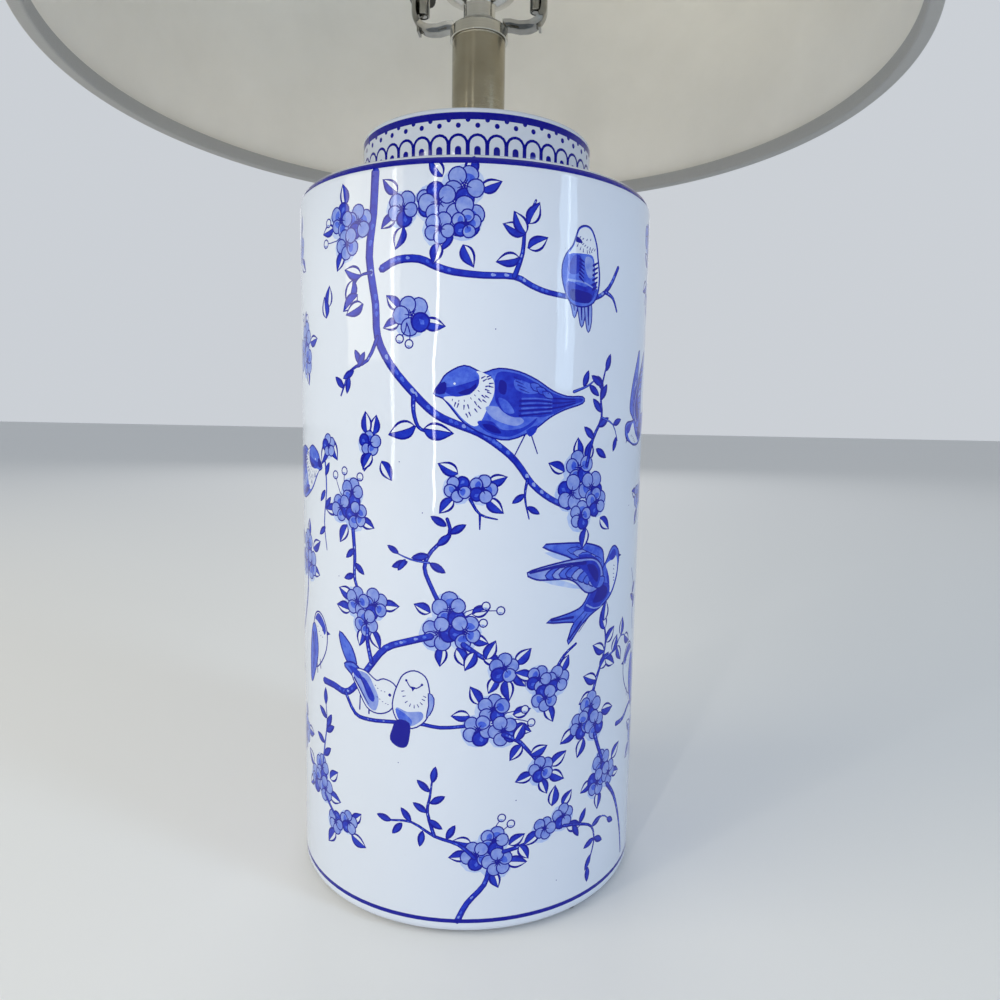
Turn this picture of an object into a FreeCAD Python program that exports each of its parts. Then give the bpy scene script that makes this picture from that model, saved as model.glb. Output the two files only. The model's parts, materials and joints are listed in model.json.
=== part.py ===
"""Ginger jar table lamp: a glazed ceramic jar on small pads, a threaded rod through it, a brushed
neck tube, a turn-knob lamp socket with a bulb, a wire harp, and a fabric drum shade under a finial.

Millimetres. Z is up, the floor is z = 0, and the jar's axis is the Z axis. The harp stands in the
XZ plane, and the lead enters at the back of the foot, on +Y."""

import FreeCAD, Part
import math
import os
import re

import Sketcher
from FreeCAD import Rotation, Vector

SIZES = {
    # Jar: one casting, closed at the top of its collar and recessed under its bottom.
    "jar_radius": 82.5,
    "jar_wall": 6.0,
    "shoulder_height": 318.0,
    "shoulder_drop": 3.0,
    "shoulder_round": 6.0,
    "collar_radius": 53.7,
    "collar_height": 24.5,
    "collar_round": 1.6,
    "foot_width": 11.0,
    "foot_round": 4.0,
    "foot_recess": 22.0,
    # Pads under the foot ring.
    "pad_radius": 2.9,
    "pad_height": 2.0,
    # Threaded rod that clamps the stack, and the holes it passes through.
    "rod_radius": 5.0,
    "rod_bore_radius": 3.2,
    "rod_clearance": 0.25,
    "rod_tail": 2.0,
    # Washers and nut under the jar's bottom.
    "seal_radius": 17.0,
    "seal_thickness": 2.0,
    "washer_radius": 20.0,
    "washer_thickness": 1.6,
    "lock_washer_radius": 8.0,
    "lock_washer_thickness": 1.0,
    "nut_radius": 9.2,
    "nut_height": 4.5,
    # Lead inlet at the back of the foot.
    "inlet_height": 12.0,
    "inlet_bore_radius": 3.2,
    "inlet_wall": 1.2,
    "inlet_flange_radius": 6.6,
    "inlet_flange_thickness": 1.8,
    "inlet_lip_radius": 5.6,
    "inlet_lip_thickness": 1.2,
    "inlet_clearance": 0.3,
    # Neck tube, its seat on the collar and the cap that closes it.
    "seat_radius": 14.0,
    "seat_thickness": 1.0,
    "tube_radius": 12.5,
    "tube_wall": 1.0,
    "tube_length": 48.1,
    "cap_radius": 13.6,
    "cap_height": 5.5,
    "cap_round": 0.4,
    "cap_gap": 0.5,
    "spigot_length": 4.0,
    "spigot_clearance": 0.1,
    # Saddle that carries the harp.
    "boss_radius": 12.8,
    "boss_top_radius": 8.5,
    "boss_height": 3.2,
    "saddle_reach": 32.0,
    "saddle_thickness": 1.2,
    "arm_width": 11.0,
    "arm_depth": 2.6,
    "arm_drop": 1.0,
    "arm_slope": 1.0,
    "arm_bend": 10.0,
    "arm_height": 16.0,
    "arm_corner": 3.2,
    "tongue_width": 2.4,
    "tongue_height": 18.5,
    "tongue_shoulder": 8.0,
    "tongue_base_width": 6.0,
    "tongue_inset": 0.5,
    # Harp and the sleeves that lock it on the saddle.
    "harp_wire_radius": 1.6,
    "harp_height": 216.0,
    "harp_half_width": 56.0,
    "harp_leg_height": 44.0,
    "harp_belly_height": 100.0,
    "harp_shoulder_height": 158.0,
    "harp_top_half_width": 30.0,
    "harp_leg_bend": 40.0,
    "harp_belly_bend": 60.0,
    "harp_top_bend": 18.0,
    "sleeve_bore_radius": 2.7,
    "sleeve_wall": 0.65,
    "sleeve_length": 12.0,
    "sleeve_round": 0.5,
    "sleeve_gap": 0.3,
    "wall_gap": 0.35,
    # Strap and threaded stud on the harp's top.
    "strap_length": 26.0,
    "strap_width": 12.0,
    "strap_thickness": 1.6,
    "strap_end_flat": 0.5,
    "stud_radius": 3.175,
    "stud_height": 10.0,
    # Socket: cap, shell, liner, switch block, screw shell and contact.
    "nozzle_radius": 7.5,
    "nozzle_length": 6.5,
    "saddle_washer_radius": 7.9,
    "dome_height": 6.2,
    "dome_rim": 2.2,
    "dome_wall": 0.7,
    "dome_round": 3.0,
    "socket_radius": 17.0,
    "socket_wall": 0.5,
    "socket_length": 45.0,
    "socket_bead": 0.7,
    "socket_gap": 0.2,
    "liner_wall": 0.6,
    "block_height": 15.0,
    "terminal_margin": 1.0,
    "screw_shell_radius": 14.0,
    "screw_shell_wall": 0.4,
    "screw_shell_length": 26.0,
    "contact_radius": 3.5,
    "contact_thickness": 0.8,
    "contact_gap": 2.0,
    "terminal_radius": 2.8,
    "terminal_length": 4.0,
    # Rotary switch: the shaft leaves the shell beside the harp's left leg.
    "switch_height": 21.0,
    "switch_angle": 152.0,
    "shaft_radius": 1.6,
    "shaft_clearance": 0.1,
    "shaft_room": 1.0,
    "shaft_inner_end": 8.0,
    "knob_radius": 6.0,
    "knob_end_radius": 5.3,
    "knob_length": 8.0,
    "knob_start": 31.0,
    "knob_round": 1.0,
    "knob_bore_depth": 5.5,
    # Bulb.
    "bulb_radius": 30.0,
    "bulb_length": 110.0,
    "bulb_base_radius": 13.1,
    "bulb_base_length": 24.0,
    "bulb_base_wall": 0.4,
    "bulb_base_chamfer": 1.0,
    "bulb_tip_radius": 4.6,
    "bulb_tip_height": 1.6,
    "bulb_button_height": 3.4,
    "bulb_glass_wall": 0.8,
    "bulb_neck_radius": 13.6,
    "bulb_gap": 0.3,
    # Shade: hardback drum on two rings, with a three-armed spider set down into it.
    "shade_bottom_radius": 192.0,
    "shade_top_radius": 178.0,
    "shade_height": 253.0,
    "cover_thickness": 0.6,
    "backing_thickness": 0.5,
    "ring_wire_radius": 1.6,
    "trim_thickness": 0.6,
    "trim_outside": 9.0,
    "trim_inside": 6.5,
    "trim_gap": 0.3,
    "skin_gap": 0.05,
    "spider_drop": 12.7,
    "spider_washer_radius": 13.0,
    "spider_washer_thickness": 1.5,
    "spider_hole_radius": 3.6,
    "spider_wire_radius": 1.5,
    "spider_inner_radius": 8.0,
    "spider_rise_radius": 22.0,
    "spider_level_radius": 40.0,
    "spider_bend": 12.0,
    # Finial.
    "finial_foot_radius": 6.5,
    "finial_waist_radius": 4.9,
    "finial_foot_height": 3.0,
    "finial_waist_height": 11.0,
    "finial_step": 2.0,
    "finial_round": 1.0,
    "finial_ball_radius": 9.5,
    "insert_radius": 4.2,
    "insert_height": 9.5,
    "thread_clearance": 0.08,
}
PAD_COUNT = 4
SPIDER_ARM_COUNT = 3

doc = FreeCAD.newDocument("ginger_jar_lamp")
sheet = doc.addObject("Spreadsheet::Sheet", "sizes")
for row, (name, number) in enumerate(SIZES.items(), start=1):
    sheet.set(f"A{row}", name)
    sheet.set(f"B{row}", str(number))
    sheet.setAlias(f"B{row}", name)
doc.recompute()
nodes = []


# ---- Helpers: formulas are written with the sheet's names ------------------------------------

def bound(formula):
    """The formula as an expression, with each size's name pointing at its cell."""
    def cell(word):
        return "sizes." + word.group() if word.group() in SIZES else word.group()
    return re.sub(r"[a-z_]+", cell, str(formula))


def value(formula):
    return float(sheet.evalExpression(str(formula)))


def bind(thing, **formulas):
    for prop, formula in formulas.items():
        thing.setExpression(prop.replace("__", "."), bound(formula))


def origin_plane(body, role):
    return next(feature for feature in body.Origin.OriginFeatures if feature.Role == role)


def new_body(label, height=None):
    """A body whose own zero stands at the given height on the Z axis."""
    body = doc.addObject("PartDesign::Body", label)
    body.Label = label
    body.AllowCompound = True
    if height is not None:
        bind(body, Placement__Base__z=height)
    nodes.append(body)
    return body


def new_sketch(body, role, offset=None):
    sketch = body.newObject("Sketcher::SketchObject", body.Label + "_sketch")
    sketch.AttachmentSupport = (origin_plane(body, role), [""])
    sketch.MapMode = "FlatFace"
    if offset is not None:
        bind(sketch, AttachmentOffset__Base__z=offset)
    return sketch


def hold(sketch, geometry, vertex, corner):
    """Dimension a vertex from the sketch's origin by its corner's two formulas."""
    for kind, formula in zip(("DistanceX", "DistanceY"), corner):
        number = sketch.addConstraint(
            Sketcher.Constraint(kind, -1, 1, geometry, vertex, value(formula)))
        if not re.fullmatch(r"-?[0-9.]+", str(formula)):
            sketch.setExpression(f"Constraints[{number}]", bound(formula))


def draw(sketch, corners, closed=True):
    """Straight runs from corner to corner. A corner is (x, y) or (x, y, radius): with a radius it
    gets a tangent arc, and the point where its two runs would meet keeps the dimensions."""
    points = [Vector(value(corner[0]), value(corner[1]), 0) for corner in corners]
    count = len(points)
    arcs = {}
    for i, corner in enumerate(corners):
        if len(corner) < 3:
            continue
        into = (points[i] - points[i - 1]).normalize()
        out = (points[(i + 1) % count] - points[i]).normalize()
        turn = math.atan2(into.x * out.y - into.y * out.x, into * out)
        radius = value(corner[2])
        reach = radius * math.tan(abs(turn) / 2)
        side = Vector(-into.y, into.x, 0) * math.copysign(1, turn)
        start, end = points[i] - into * reach, points[i] + out * reach
        arcs[i] = (start, end, start + side * radius, radius, turn)
    runs = count if closed else count - 1
    lines = []
    for i in range(runs):
        j = (i + 1) % count
        start = arcs[i][1] if i in arcs else points[i]
        end = arcs[j][0] if j in arcs else points[j]
        lines.append(sketch.addGeometry(Part.LineSegment(start, end), False))
    for i in range(count):
        before = lines[i - 1] if closed or i > 0 else None
        after = lines[i] if i < runs else None
        if i not in arcs:
            if before is not None and after is not None:
                sketch.addConstraint(Sketcher.Constraint("Coincident", before, 2, after, 1))
            if after is not None:
                hold(sketch, after, 1, corners[i])
            else:
                hold(sketch, before, 2, corners[i])
            continue
        start, end, centre, radius, turn = arcs[i]
        first, last = (start, end) if turn > 0 else (end, start)
        angles = [math.atan2(p.y - centre.y, p.x - centre.x) for p in (first, last)]
        circle = Part.Circle(centre, Vector(0, 0, 1), radius)
        arc = sketch.addGeometry(Part.ArcOfCircle(circle, *angles), False)
        corner = sketch.addGeometry(Part.Point(points[i]), True)
        near, far = (1, 2) if turn > 0 else (2, 1)
        sketch.addConstraint(Sketcher.Constraint("Tangent", before, 2, arc, near))
        sketch.addConstraint(Sketcher.Constraint("Tangent", arc, far, after, 1))
        number = sketch.addConstraint(Sketcher.Constraint("Radius", arc, radius))
        sketch.setExpression(f"Constraints[{number}]", bound(corners[i][2]))
        sketch.addConstraint(Sketcher.Constraint("PointOnObject", corner, 1, before))
        sketch.addConstraint(Sketcher.Constraint("PointOnObject", corner, 1, after))
        hold(sketch, corner, 1, corners[i])


def revolve(body, sketch, axis):
    """Turn a sketch fully about one of its own axes."""
    turned = body.newObject("PartDesign::Revolution", body.Label + "_turned")
    turned.Profile = sketch
    turned.ReferenceAxis = (sketch, [axis])
    turned.Angle = 360


def turned_piece(label, height, corners):
    """A round piece from its outline, drawn as (radius, height) from the piece's own zero."""
    body = new_body(label, height)
    sketch = new_sketch(body, "XZ_Plane")
    draw(sketch, corners)
    revolve(body, sketch, "V_Axis")
    return body


def ring_piece(label, height, outer, inner, thickness):
    return turned_piece(label, height, [(inner, 0), (outer, 0), (outer, thickness),
                                        (inner, thickness)])


def circle_sketch(body, role, x, y, radius, offset=None):
    sketch = new_sketch(body, role, offset)
    centre = Vector(value(x), value(y), 0)
    circle = sketch.addGeometry(Part.Circle(centre, Vector(0, 0, 1), value(radius)), False)
    number = sketch.addConstraint(Sketcher.Constraint("Radius", circle, value(radius)))
    sketch.setExpression(f"Constraints[{number}]", bound(radius))
    hold(sketch, circle, 3, (x, y))
    return sketch


def pad(body, sketch, length, reverse=False, midplane=False):
    """Thicken a sketch along its normal."""
    thick = body.newObject("PartDesign::Pad", body.Label + "_pad")
    thick.Profile = sketch
    thick.Reversed = reverse
    if midplane:
        thick.Midplane = True
    bind(thick, Length=length)
    return thick


def pocket(body, sketch, length, reverse=False):
    """Cut a sketch's shape out of the body, along the sketch's back, or its front if reversed."""
    cut = body.newObject("PartDesign::Pocket", body.Label + "_pocket")
    cut.Profile = sketch
    cut.Reversed = reverse
    bind(cut, Length=length)
    return cut


def pipe(body, section, path):
    """Sweep a section sketch along a path sketch."""
    swept = body.newObject("PartDesign::AdditivePipe", body.Label + "_swept")
    swept.Profile = section
    swept.Spine = path
    swept.Mode = "Frenet"
    return swept


def turn_copies(body, originals, count):
    """Repeat features evenly round the body's Z axis."""
    pattern = body.newObject("PartDesign::PolarPattern", body.Label + "_copies")
    pattern.Originals = originals
    pattern.Axis = (origin_plane(body, "Z_Axis"), [""])
    pattern.Angle = 360
    pattern.Occurrences = count
    body.Tip = pattern
    return pattern


# ---- Heights of the stack, from the floor up --------------------------------------------------

jar_height = "(shoulder_height + collar_height)"
jar_top = f"(pad_height + {jar_height})"
tube_bottom = f"({jar_top} + seat_thickness)"
tube_top = f"({tube_bottom} + tube_length)"
cap_top = f"({tube_top} + cap_height)"
boss_top = f"({cap_top} + boss_height)"
socket_bottom = f"({boss_top} + lock_washer_thickness)"
dome_bottom = f"({socket_bottom} + nozzle_length)"
shell_bottom = f"({dome_bottom} + dome_height + socket_gap)"
block_bottom = f"({shell_bottom} + socket_gap)"
block_top = f"({block_bottom} + block_height)"
contact_top = f"({block_top} + contact_thickness)"
bulb_bottom = f"({contact_top} + socket_gap)"
switch_level = f"({socket_bottom} + switch_height)"
harp_top = f"({cap_top} + harp_height)"
spider_top = f"({harp_top} + spider_washer_thickness)"
shade_top = f"({harp_top} + spider_drop)"
shade_bottom = f"({shade_top} - shade_height)"
bottom_underside = "(pad_height + foot_recess)"
washer_bottom = f"({bottom_underside} - seal_thickness - washer_thickness)"
nut_bottom = f"({washer_bottom} - lock_washer_thickness - nut_height)"
rod_hole = "(rod_radius + rod_clearance)"

# The sleeve's axis stands a named gap inside the upturned arm. Its bore holds the tongue on the
# outer side and the harp's leg against it.
sleeve_radius = "(sleeve_bore_radius + sleeve_wall)"
sleeve_place = f"(saddle_reach - saddle_thickness - wall_gap - {sleeve_radius})"
tongue_offset = "(sleeve_bore_radius - tongue_inset - saddle_thickness)"
leg_place = f"({sleeve_place} + {tongue_offset} - harp_wire_radius - skin_gap)"
sleeve_bottom = f"({cap_top} - arm_drop + tongue_shoulder + sleeve_gap)"


# ---- Jar, pads and the hardware under its bottom ----------------------------------------------

def make_jar():
    """The jar is a closed shell: the rod's two holes are its only openings besides the inlet."""
    body = turned_piece("jar_body", "pad_height", [
        ("jar_radius - foot_width", 0, "foot_round / 4"),
        ("jar_radius", 0, "foot_round"),
        ("jar_radius", "shoulder_height - shoulder_drop", "shoulder_round"),
        ("collar_radius", "shoulder_height", "collar_round"),
        ("collar_radius", jar_height, "collar_round"),
        (rod_hole, jar_height),
        (rod_hole, f"{jar_height} - jar_wall"),
        ("collar_radius - jar_wall", f"{jar_height} - jar_wall"),
        ("collar_radius - jar_wall", "shoulder_height - jar_wall"),
        ("jar_radius - jar_wall", "shoulder_height - shoulder_drop - jar_wall"),
        ("jar_radius - jar_wall", "foot_recess + jar_wall"),
        (rod_hole, "foot_recess + jar_wall"),
        (rod_hole, "foot_recess"),
        ("jar_radius - foot_width", "foot_recess"),
    ])
    hole = circle_sketch(body, "XZ_Plane", 0, "inlet_height", "inlet_bore_radius + inlet_wall")
    pocket(body, hole, "jar_radius + foot_width")


def make_pads():
    body = new_body("foot_pads", 0)
    place = "(jar_radius - foot_round - pad_radius) * sqrt(2) / 2"
    disc = circle_sketch(body, "XY_Plane", place, place, "pad_radius")
    turn_copies(body, [pad(body, disc, "pad_height")], PAD_COUNT)


def make_inlet():
    """A grommet: an outer flange, a tube through the foot and a lip that snaps in behind it."""
    body = new_body("lead_inlet")
    sketch = new_sketch(body, "YZ_Plane")
    tube_radius = "(inlet_bore_radius + inlet_wall)"
    flange = "(jar_radius + inlet_flange_thickness)"
    inner = "(jar_radius - foot_width - inlet_clearance)"
    level = "(pad_height + inlet_height)"
    draw(sketch, [
        (f"{inner} - inlet_lip_thickness", f"{level} + inlet_bore_radius"),
        (flange, f"{level} + inlet_bore_radius"),
        (flange, f"{level} + inlet_flange_radius", "inlet_flange_thickness / 2"),
        ("jar_radius", f"{level} + inlet_flange_radius"),
        ("jar_radius", f"{level} + {tube_radius}"),
        (inner, f"{level} + {tube_radius}"),
        (inner, f"{level} + inlet_lip_radius"),
        (f"{inner} - inlet_lip_thickness", f"{level} + inlet_lip_radius"),
    ])
    axis = sketch.addGeometry(Part.LineSegment(Vector(0, value(level), 0),
                                               Vector(value("jar_radius"), value(level), 0)), True)
    hold(sketch, axis, 1, (0, level))
    hold(sketch, axis, 2, ("jar_radius", level))
    revolve(body, sketch, "Axis0")


def make_nut():
    prism = doc.addObject("Part::Prism", "nut_prism")
    prism.Polygon = 6
    bind(prism, Circumradius="nut_radius", Height="nut_height")
    bore = doc.addObject("Part::Cylinder", "nut_bore")
    bind(bore, Radius="rod_radius", Height="nut_height")
    nut = doc.addObject("Part::Cut", "rod_nut")
    nut.Label = "rod_nut"
    nut.Base = prism
    nut.Tool = bore
    bind(nut, Placement__Base__z=nut_bottom)
    nodes.append(nut)


def make_clamp_stack():
    """The rod runs from under the bottom nut into the socket's nozzle and squeezes the stack."""
    rod_bottom = f"({nut_bottom} - rod_tail)"
    ring_piece("threaded_rod", rod_bottom, "rod_radius", "rod_bore_radius",
               f"{dome_bottom} - {rod_bottom}")
    ring_piece("bottom_seal", f"{bottom_underside} - seal_thickness", "seal_radius", rod_hole,
               "seal_thickness")
    ring_piece("bottom_washer", washer_bottom, "washer_radius", rod_hole, "washer_thickness")
    ring_piece("bottom_lock_washer", f"{washer_bottom} - lock_washer_thickness",
               "lock_washer_radius", rod_hole, "lock_washer_thickness")
    make_nut()


# ---- Neck, saddle and harp --------------------------------------------------------------------

def make_neck():
    ring_piece("neck_seat", jar_top, "seat_radius", rod_hole, "seat_thickness")
    ring_piece("neck_tube", tube_bottom, "tube_radius", "tube_radius - tube_wall", "tube_length")
    spigot = "(tube_radius - tube_wall - spigot_clearance)"
    turned_piece("neck_cap", tube_top, [
        (rod_hole, "-spigot_length"),
        (spigot, "-spigot_length"),
        (spigot, 0),
        ("tube_radius - cap_gap", 0),
        ("tube_radius - cap_gap", "cap_gap"),
        ("cap_radius", "cap_gap", "cap_round"),
        ("cap_radius", "cap_height", "cap_round"),
        (rod_hole, "cap_height"),
    ])


def make_saddle():
    """A stamped strip: a boss over the cap, two trough-shaped arms that run flat beside the cap and
    turn up, and a narrow tongue inside each upturned end."""
    body = turned_piece("harp_saddle", cap_top, [
        (rod_hole, 0),
        ("boss_radius", 0),
        ("boss_radius", "saddle_thickness / 2"),
        ("boss_top_radius", "boss_height", "saddle_thickness"),
        (rod_hole, "boss_height"),
    ])
    start = "(boss_radius - saddle_thickness)"
    path = new_sketch(body, "XZ_Plane")
    draw(path, [
        (start, 0),
        ("cap_radius + saddle_thickness", 0, "arm_corner"),
        ("cap_radius + saddle_thickness + arm_corner + arm_slope", "-arm_drop", "arm_corner"),
        ("saddle_reach", "-arm_drop", "arm_bend"),
        ("saddle_reach", "arm_height - arm_drop"),
    ], closed=False)
    section = new_sketch(body, "YZ_Plane", start)
    floor = "saddle_thickness"
    draw(section, [
        ("-arm_width / 2", "arm_depth"),
        ("-arm_width / 3", 0, "arm_corner"),
        ("arm_width / 3", 0, "arm_corner"),
        ("arm_width / 2", "arm_depth"),
        ("arm_width / 2 - saddle_thickness", "arm_depth"),
        ("arm_width / 3 - saddle_thickness / 2", floor, "arm_corner - saddle_thickness"),
        ("-arm_width / 3 + saddle_thickness / 2", floor, "arm_corner - saddle_thickness"),
        ("-arm_width / 2 + saddle_thickness", "arm_depth"),
    ])
    arm = pipe(body, section, path)
    tongue = new_sketch(body, "YZ_Plane", f"{sleeve_place} + {tongue_offset}")
    shoulder = "(tongue_shoulder - arm_drop)"
    top = "(tongue_height - arm_drop)"
    root = "(saddle_thickness / 2 - arm_drop)"
    draw(tongue, [
        ("-tongue_base_width / 2", root),
        ("tongue_base_width / 2", root),
        ("tongue_base_width / 2", shoulder),
        ("tongue_width / 2", shoulder),
        ("tongue_width / 2", top),
        ("-tongue_width / 2", top),
        ("-tongue_width / 2", shoulder),
        ("-tongue_base_width / 2", shoulder),
    ])
    blade = pad(body, tongue, "saddle_thickness")
    turn_copies(body, [arm, blade], 2)


def make_harp():
    """One bent wire, drawn from the foot of the left leg over the top to the right foot."""
    body = new_body("harp", cap_top)
    foot = "(tongue_shoulder - arm_drop + sleeve_gap)"
    top = "(harp_height - strap_thickness - harp_wire_radius)"
    half = [
        (leg_place, foot),
        (leg_place, "harp_leg_height", "harp_leg_bend"),
        ("harp_half_width", "harp_belly_height", "harp_belly_bend"),
        ("harp_half_width", "harp_shoulder_height", "harp_belly_bend"),
        ("harp_top_half_width", top, "harp_top_bend"),
    ]
    mirrored = [("-" + corner[0],) + corner[1:] for corner in half]
    path = new_sketch(body, "XZ_Plane")
    draw(path, mirrored + half[::-1], closed=False)
    section = circle_sketch(body, "XY_Plane", "-" + leg_place, 0, "harp_wire_radius", foot)
    pipe(body, section, path)


def make_harp_top():
    """A strap welded on the wire's top run, with the stud that the shade hangs on."""
    body = new_body("harp_stud", f"{harp_top} - strap_thickness")
    strap = new_sketch(body, "XY_Plane")
    corner = "strap_width / 2 - strap_end_flat"
    draw(strap, [
        ("-strap_length / 2", "-strap_width / 2", corner),
        ("strap_length / 2", "-strap_width / 2", corner),
        ("strap_length / 2", "strap_width / 2", corner),
        ("-strap_length / 2", "strap_width / 2", corner),
    ])
    pad(body, strap, "strap_thickness")
    stud = circle_sketch(body, "XY_Plane", 0, 0, "stud_radius", "strap_thickness")
    pad(body, stud, "stud_height")


def make_sleeves():
    for label, side in (("left_sleeve", "-"), ("right_sleeve", "")):
        body = turned_piece(label, sleeve_bottom, [
            ("sleeve_bore_radius", 0),
            (sleeve_radius, 0, "sleeve_round"),
            (sleeve_radius, "sleeve_length", "sleeve_round"),
            ("sleeve_bore_radius", "sleeve_length"),
        ])
        bind(body, Placement__Base__x=side + sleeve_place)


# ---- Socket and its switch --------------------------------------------------------------------

dome_radius = "(socket_radius + dome_wall)"
liner_radius = "(socket_radius - socket_wall - socket_gap)"
block_radius = f"({liner_radius} - liner_wall - socket_gap)"
terminal_level = "(block_height - terminal_radius - terminal_margin)"


def point_at_switch(body):
    """Turn a body about Z so that its own X axis points along the switch's shaft."""
    body.Placement.Rotation = Rotation(Vector(0, 0, 1), value("switch_angle"))
    bind(body, Placement__Rotation__Angle="switch_angle")


def bore_for_shaft(body, body_level, radius):
    """Bore a round hole for the shaft, from inside the body out through its side."""
    point_at_switch(body)
    hole = circle_sketch(body, "YZ_Plane", 0, f"{switch_level} - {body_level}", radius,
                         "shaft_inner_end - shaft_clearance")
    pocket(body, hole, dome_radius, reverse=True)


def make_socket_cap():
    ring_piece("saddle_lock_washer", boss_top, "saddle_washer_radius", rod_hole,
               "lock_washer_thickness")
    turned_piece("socket_cap", socket_bottom, [
        ("rod_radius", 0),
        ("nozzle_radius", 0),
        ("nozzle_radius", "nozzle_length", "dome_round / 2"),
        (dome_radius, "nozzle_length + dome_height", "dome_round"),
        (dome_radius, "nozzle_length + dome_height + dome_rim"),
        ("socket_radius", "nozzle_length + dome_height + dome_rim"),
        ("socket_radius", "nozzle_length + dome_height"),
        ("nozzle_radius - dome_wall", "nozzle_length + dome_wall"),
        ("rod_radius", "nozzle_length + dome_wall"),
    ])


def make_socket_shell():
    shell = turned_piece("socket_shell", shell_bottom, [
        ("socket_radius - socket_wall", 0),
        ("socket_radius", 0),
        ("socket_radius", "socket_length - 2 * socket_bead"),
        ("socket_radius + socket_bead", "socket_length - socket_bead"),
        ("socket_radius", "socket_length"),
        ("socket_radius - socket_wall", "socket_length"),
    ])
    bore_for_shaft(shell, shell_bottom, "shaft_radius + shaft_room")
    liner = ring_piece("socket_liner", block_bottom, liner_radius,
                       f"{liner_radius} - liner_wall", "socket_length - 2 * socket_gap")
    bore_for_shaft(liner, block_bottom, "shaft_radius + shaft_room")


def make_switch_block():
    """A moulded block with the shaft's bore, and a recess each side for a terminal screw."""
    block = turned_piece("switch_block", block_bottom, [
        (0, 0),
        (block_radius, 0),
        (block_radius, "block_height"),
        (0, "block_height"),
    ])
    bore_for_shaft(block, block_bottom, "shaft_radius + shaft_clearance")
    recess = circle_sketch(block, "XZ_Plane", 0, terminal_level, "terminal_radius + socket_gap",
                           f"{block_radius} - terminal_length")
    turn_copies(block, [pocket(block, recess, "terminal_length", reverse=True)], 2)
    screws = new_body("terminal_screws", block_bottom)
    point_at_switch(screws)
    head = circle_sketch(screws, "XZ_Plane", 0, terminal_level, "terminal_radius",
                         f"{block_radius} - terminal_length")
    turn_copies(screws, [pad(screws, head, "terminal_length - socket_gap")], 2)


def make_screw_shell():
    """The brass thread shell stands on the block round the centre contact."""
    turned_piece("screw_shell", block_top, [
        ("contact_radius + contact_gap", 0),
        ("screw_shell_radius", 0),
        ("screw_shell_radius", "screw_shell_length"),
        ("screw_shell_radius - screw_shell_wall", "screw_shell_length"),
        ("screw_shell_radius - screw_shell_wall", "screw_shell_wall"),
        ("contact_radius + contact_gap", "screw_shell_wall"),
    ])
    ring_piece("centre_contact", block_top, "contact_radius", 0, "contact_thickness")


def make_switch():
    """The shaft turns in the block's bore, and the knob is pushed onto its outer end."""
    shaft = new_body("switch_shaft", switch_level)
    point_at_switch(shaft)
    rod = circle_sketch(shaft, "YZ_Plane", 0, 0, "shaft_radius", "shaft_inner_end")
    pad(shaft, rod, "knob_start + knob_bore_depth - shaft_inner_end")
    knob = new_body("switch_knob", switch_level)
    point_at_switch(knob)
    sketch = new_sketch(knob, "XZ_Plane")
    draw(sketch, [
        ("knob_start", "shaft_radius"),
        ("knob_start", "knob_radius", "knob_round / 2"),
        ("knob_start + knob_length", "knob_end_radius", "knob_round"),
        ("knob_start + knob_length", 0),
        ("knob_start + knob_bore_depth", 0),
        ("knob_start + knob_bore_depth", "shaft_radius"),
    ])
    revolve(knob, sketch, "H_Axis")


# ---- Bulb -------------------------------------------------------------------------------------

def make_bulb():
    """A frosted bulb: glass, a screw base, a black glass button and the tip that it carries."""
    button = "(bulb_tip_height)"
    base = f"({button} + bulb_button_height)"
    base_top = f"({base} + bulb_base_length)"
    shoulder = "(bulb_length - bulb_radius * 1.5)"
    turned_piece("bulb_tip", bulb_bottom, [
        (0, 0),
        ("bulb_tip_radius", 0, "bulb_tip_height / 2"),
        ("bulb_tip_radius", "bulb_tip_height"),
        (0, "bulb_tip_height"),
    ])
    turned_piece("bulb_button", bulb_bottom, [
        (0, button),
        ("bulb_tip_radius + bulb_gap", button),
        ("bulb_base_radius - bulb_base_wall - bulb_base_chamfer", base),
        (0, base),
    ])
    turned_piece("bulb_base", bulb_bottom, [
        ("bulb_base_radius - bulb_base_wall - bulb_base_chamfer", base),
        ("bulb_base_radius", f"{base} + bulb_base_chamfer"),
        ("bulb_base_radius", base_top),
        ("bulb_base_radius - bulb_base_wall", base_top),
        ("bulb_base_radius - bulb_base_wall", f"{base} + bulb_base_chamfer + bulb_base_wall"),
        ("bulb_base_radius - bulb_base_wall - bulb_base_chamfer", f"{base} + bulb_base_chamfer"),
    ])
    turned_piece("bulb_glass", bulb_bottom, [
        ("bulb_neck_radius - bulb_glass_wall", base_top),
        ("bulb_neck_radius", base_top),
        ("bulb_neck_radius", f"{base_top} + bulb_base_radius", "bulb_radius"),
        ("bulb_radius", shoulder, "bulb_radius * 0.8"),
        ("bulb_radius", "bulb_length", "bulb_radius * 0.98"),
        (0, "bulb_length"),
        (0, "bulb_length - bulb_glass_wall"),
        ("bulb_radius - bulb_glass_wall", "bulb_length - bulb_glass_wall",
         "bulb_radius * 0.98 - bulb_glass_wall"),
        ("bulb_radius - bulb_glass_wall", shoulder, "bulb_radius * 0.8 - bulb_glass_wall"),
        ("bulb_neck_radius - bulb_glass_wall", f"{base_top} + bulb_base_radius",
         "bulb_radius + bulb_glass_wall"),
    ])


# ---- Shade and finial -------------------------------------------------------------------------

cover_inside = "cover_thickness"
backing_inside = "(cover_thickness + backing_thickness)"
ring_inset = f"({backing_inside} + ring_wire_radius)"
slope = "((shade_bottom_radius - shade_top_radius) / shade_height)"
top_ring_radius = f"(shade_top_radius - {ring_inset} - skin_gap)"


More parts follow.
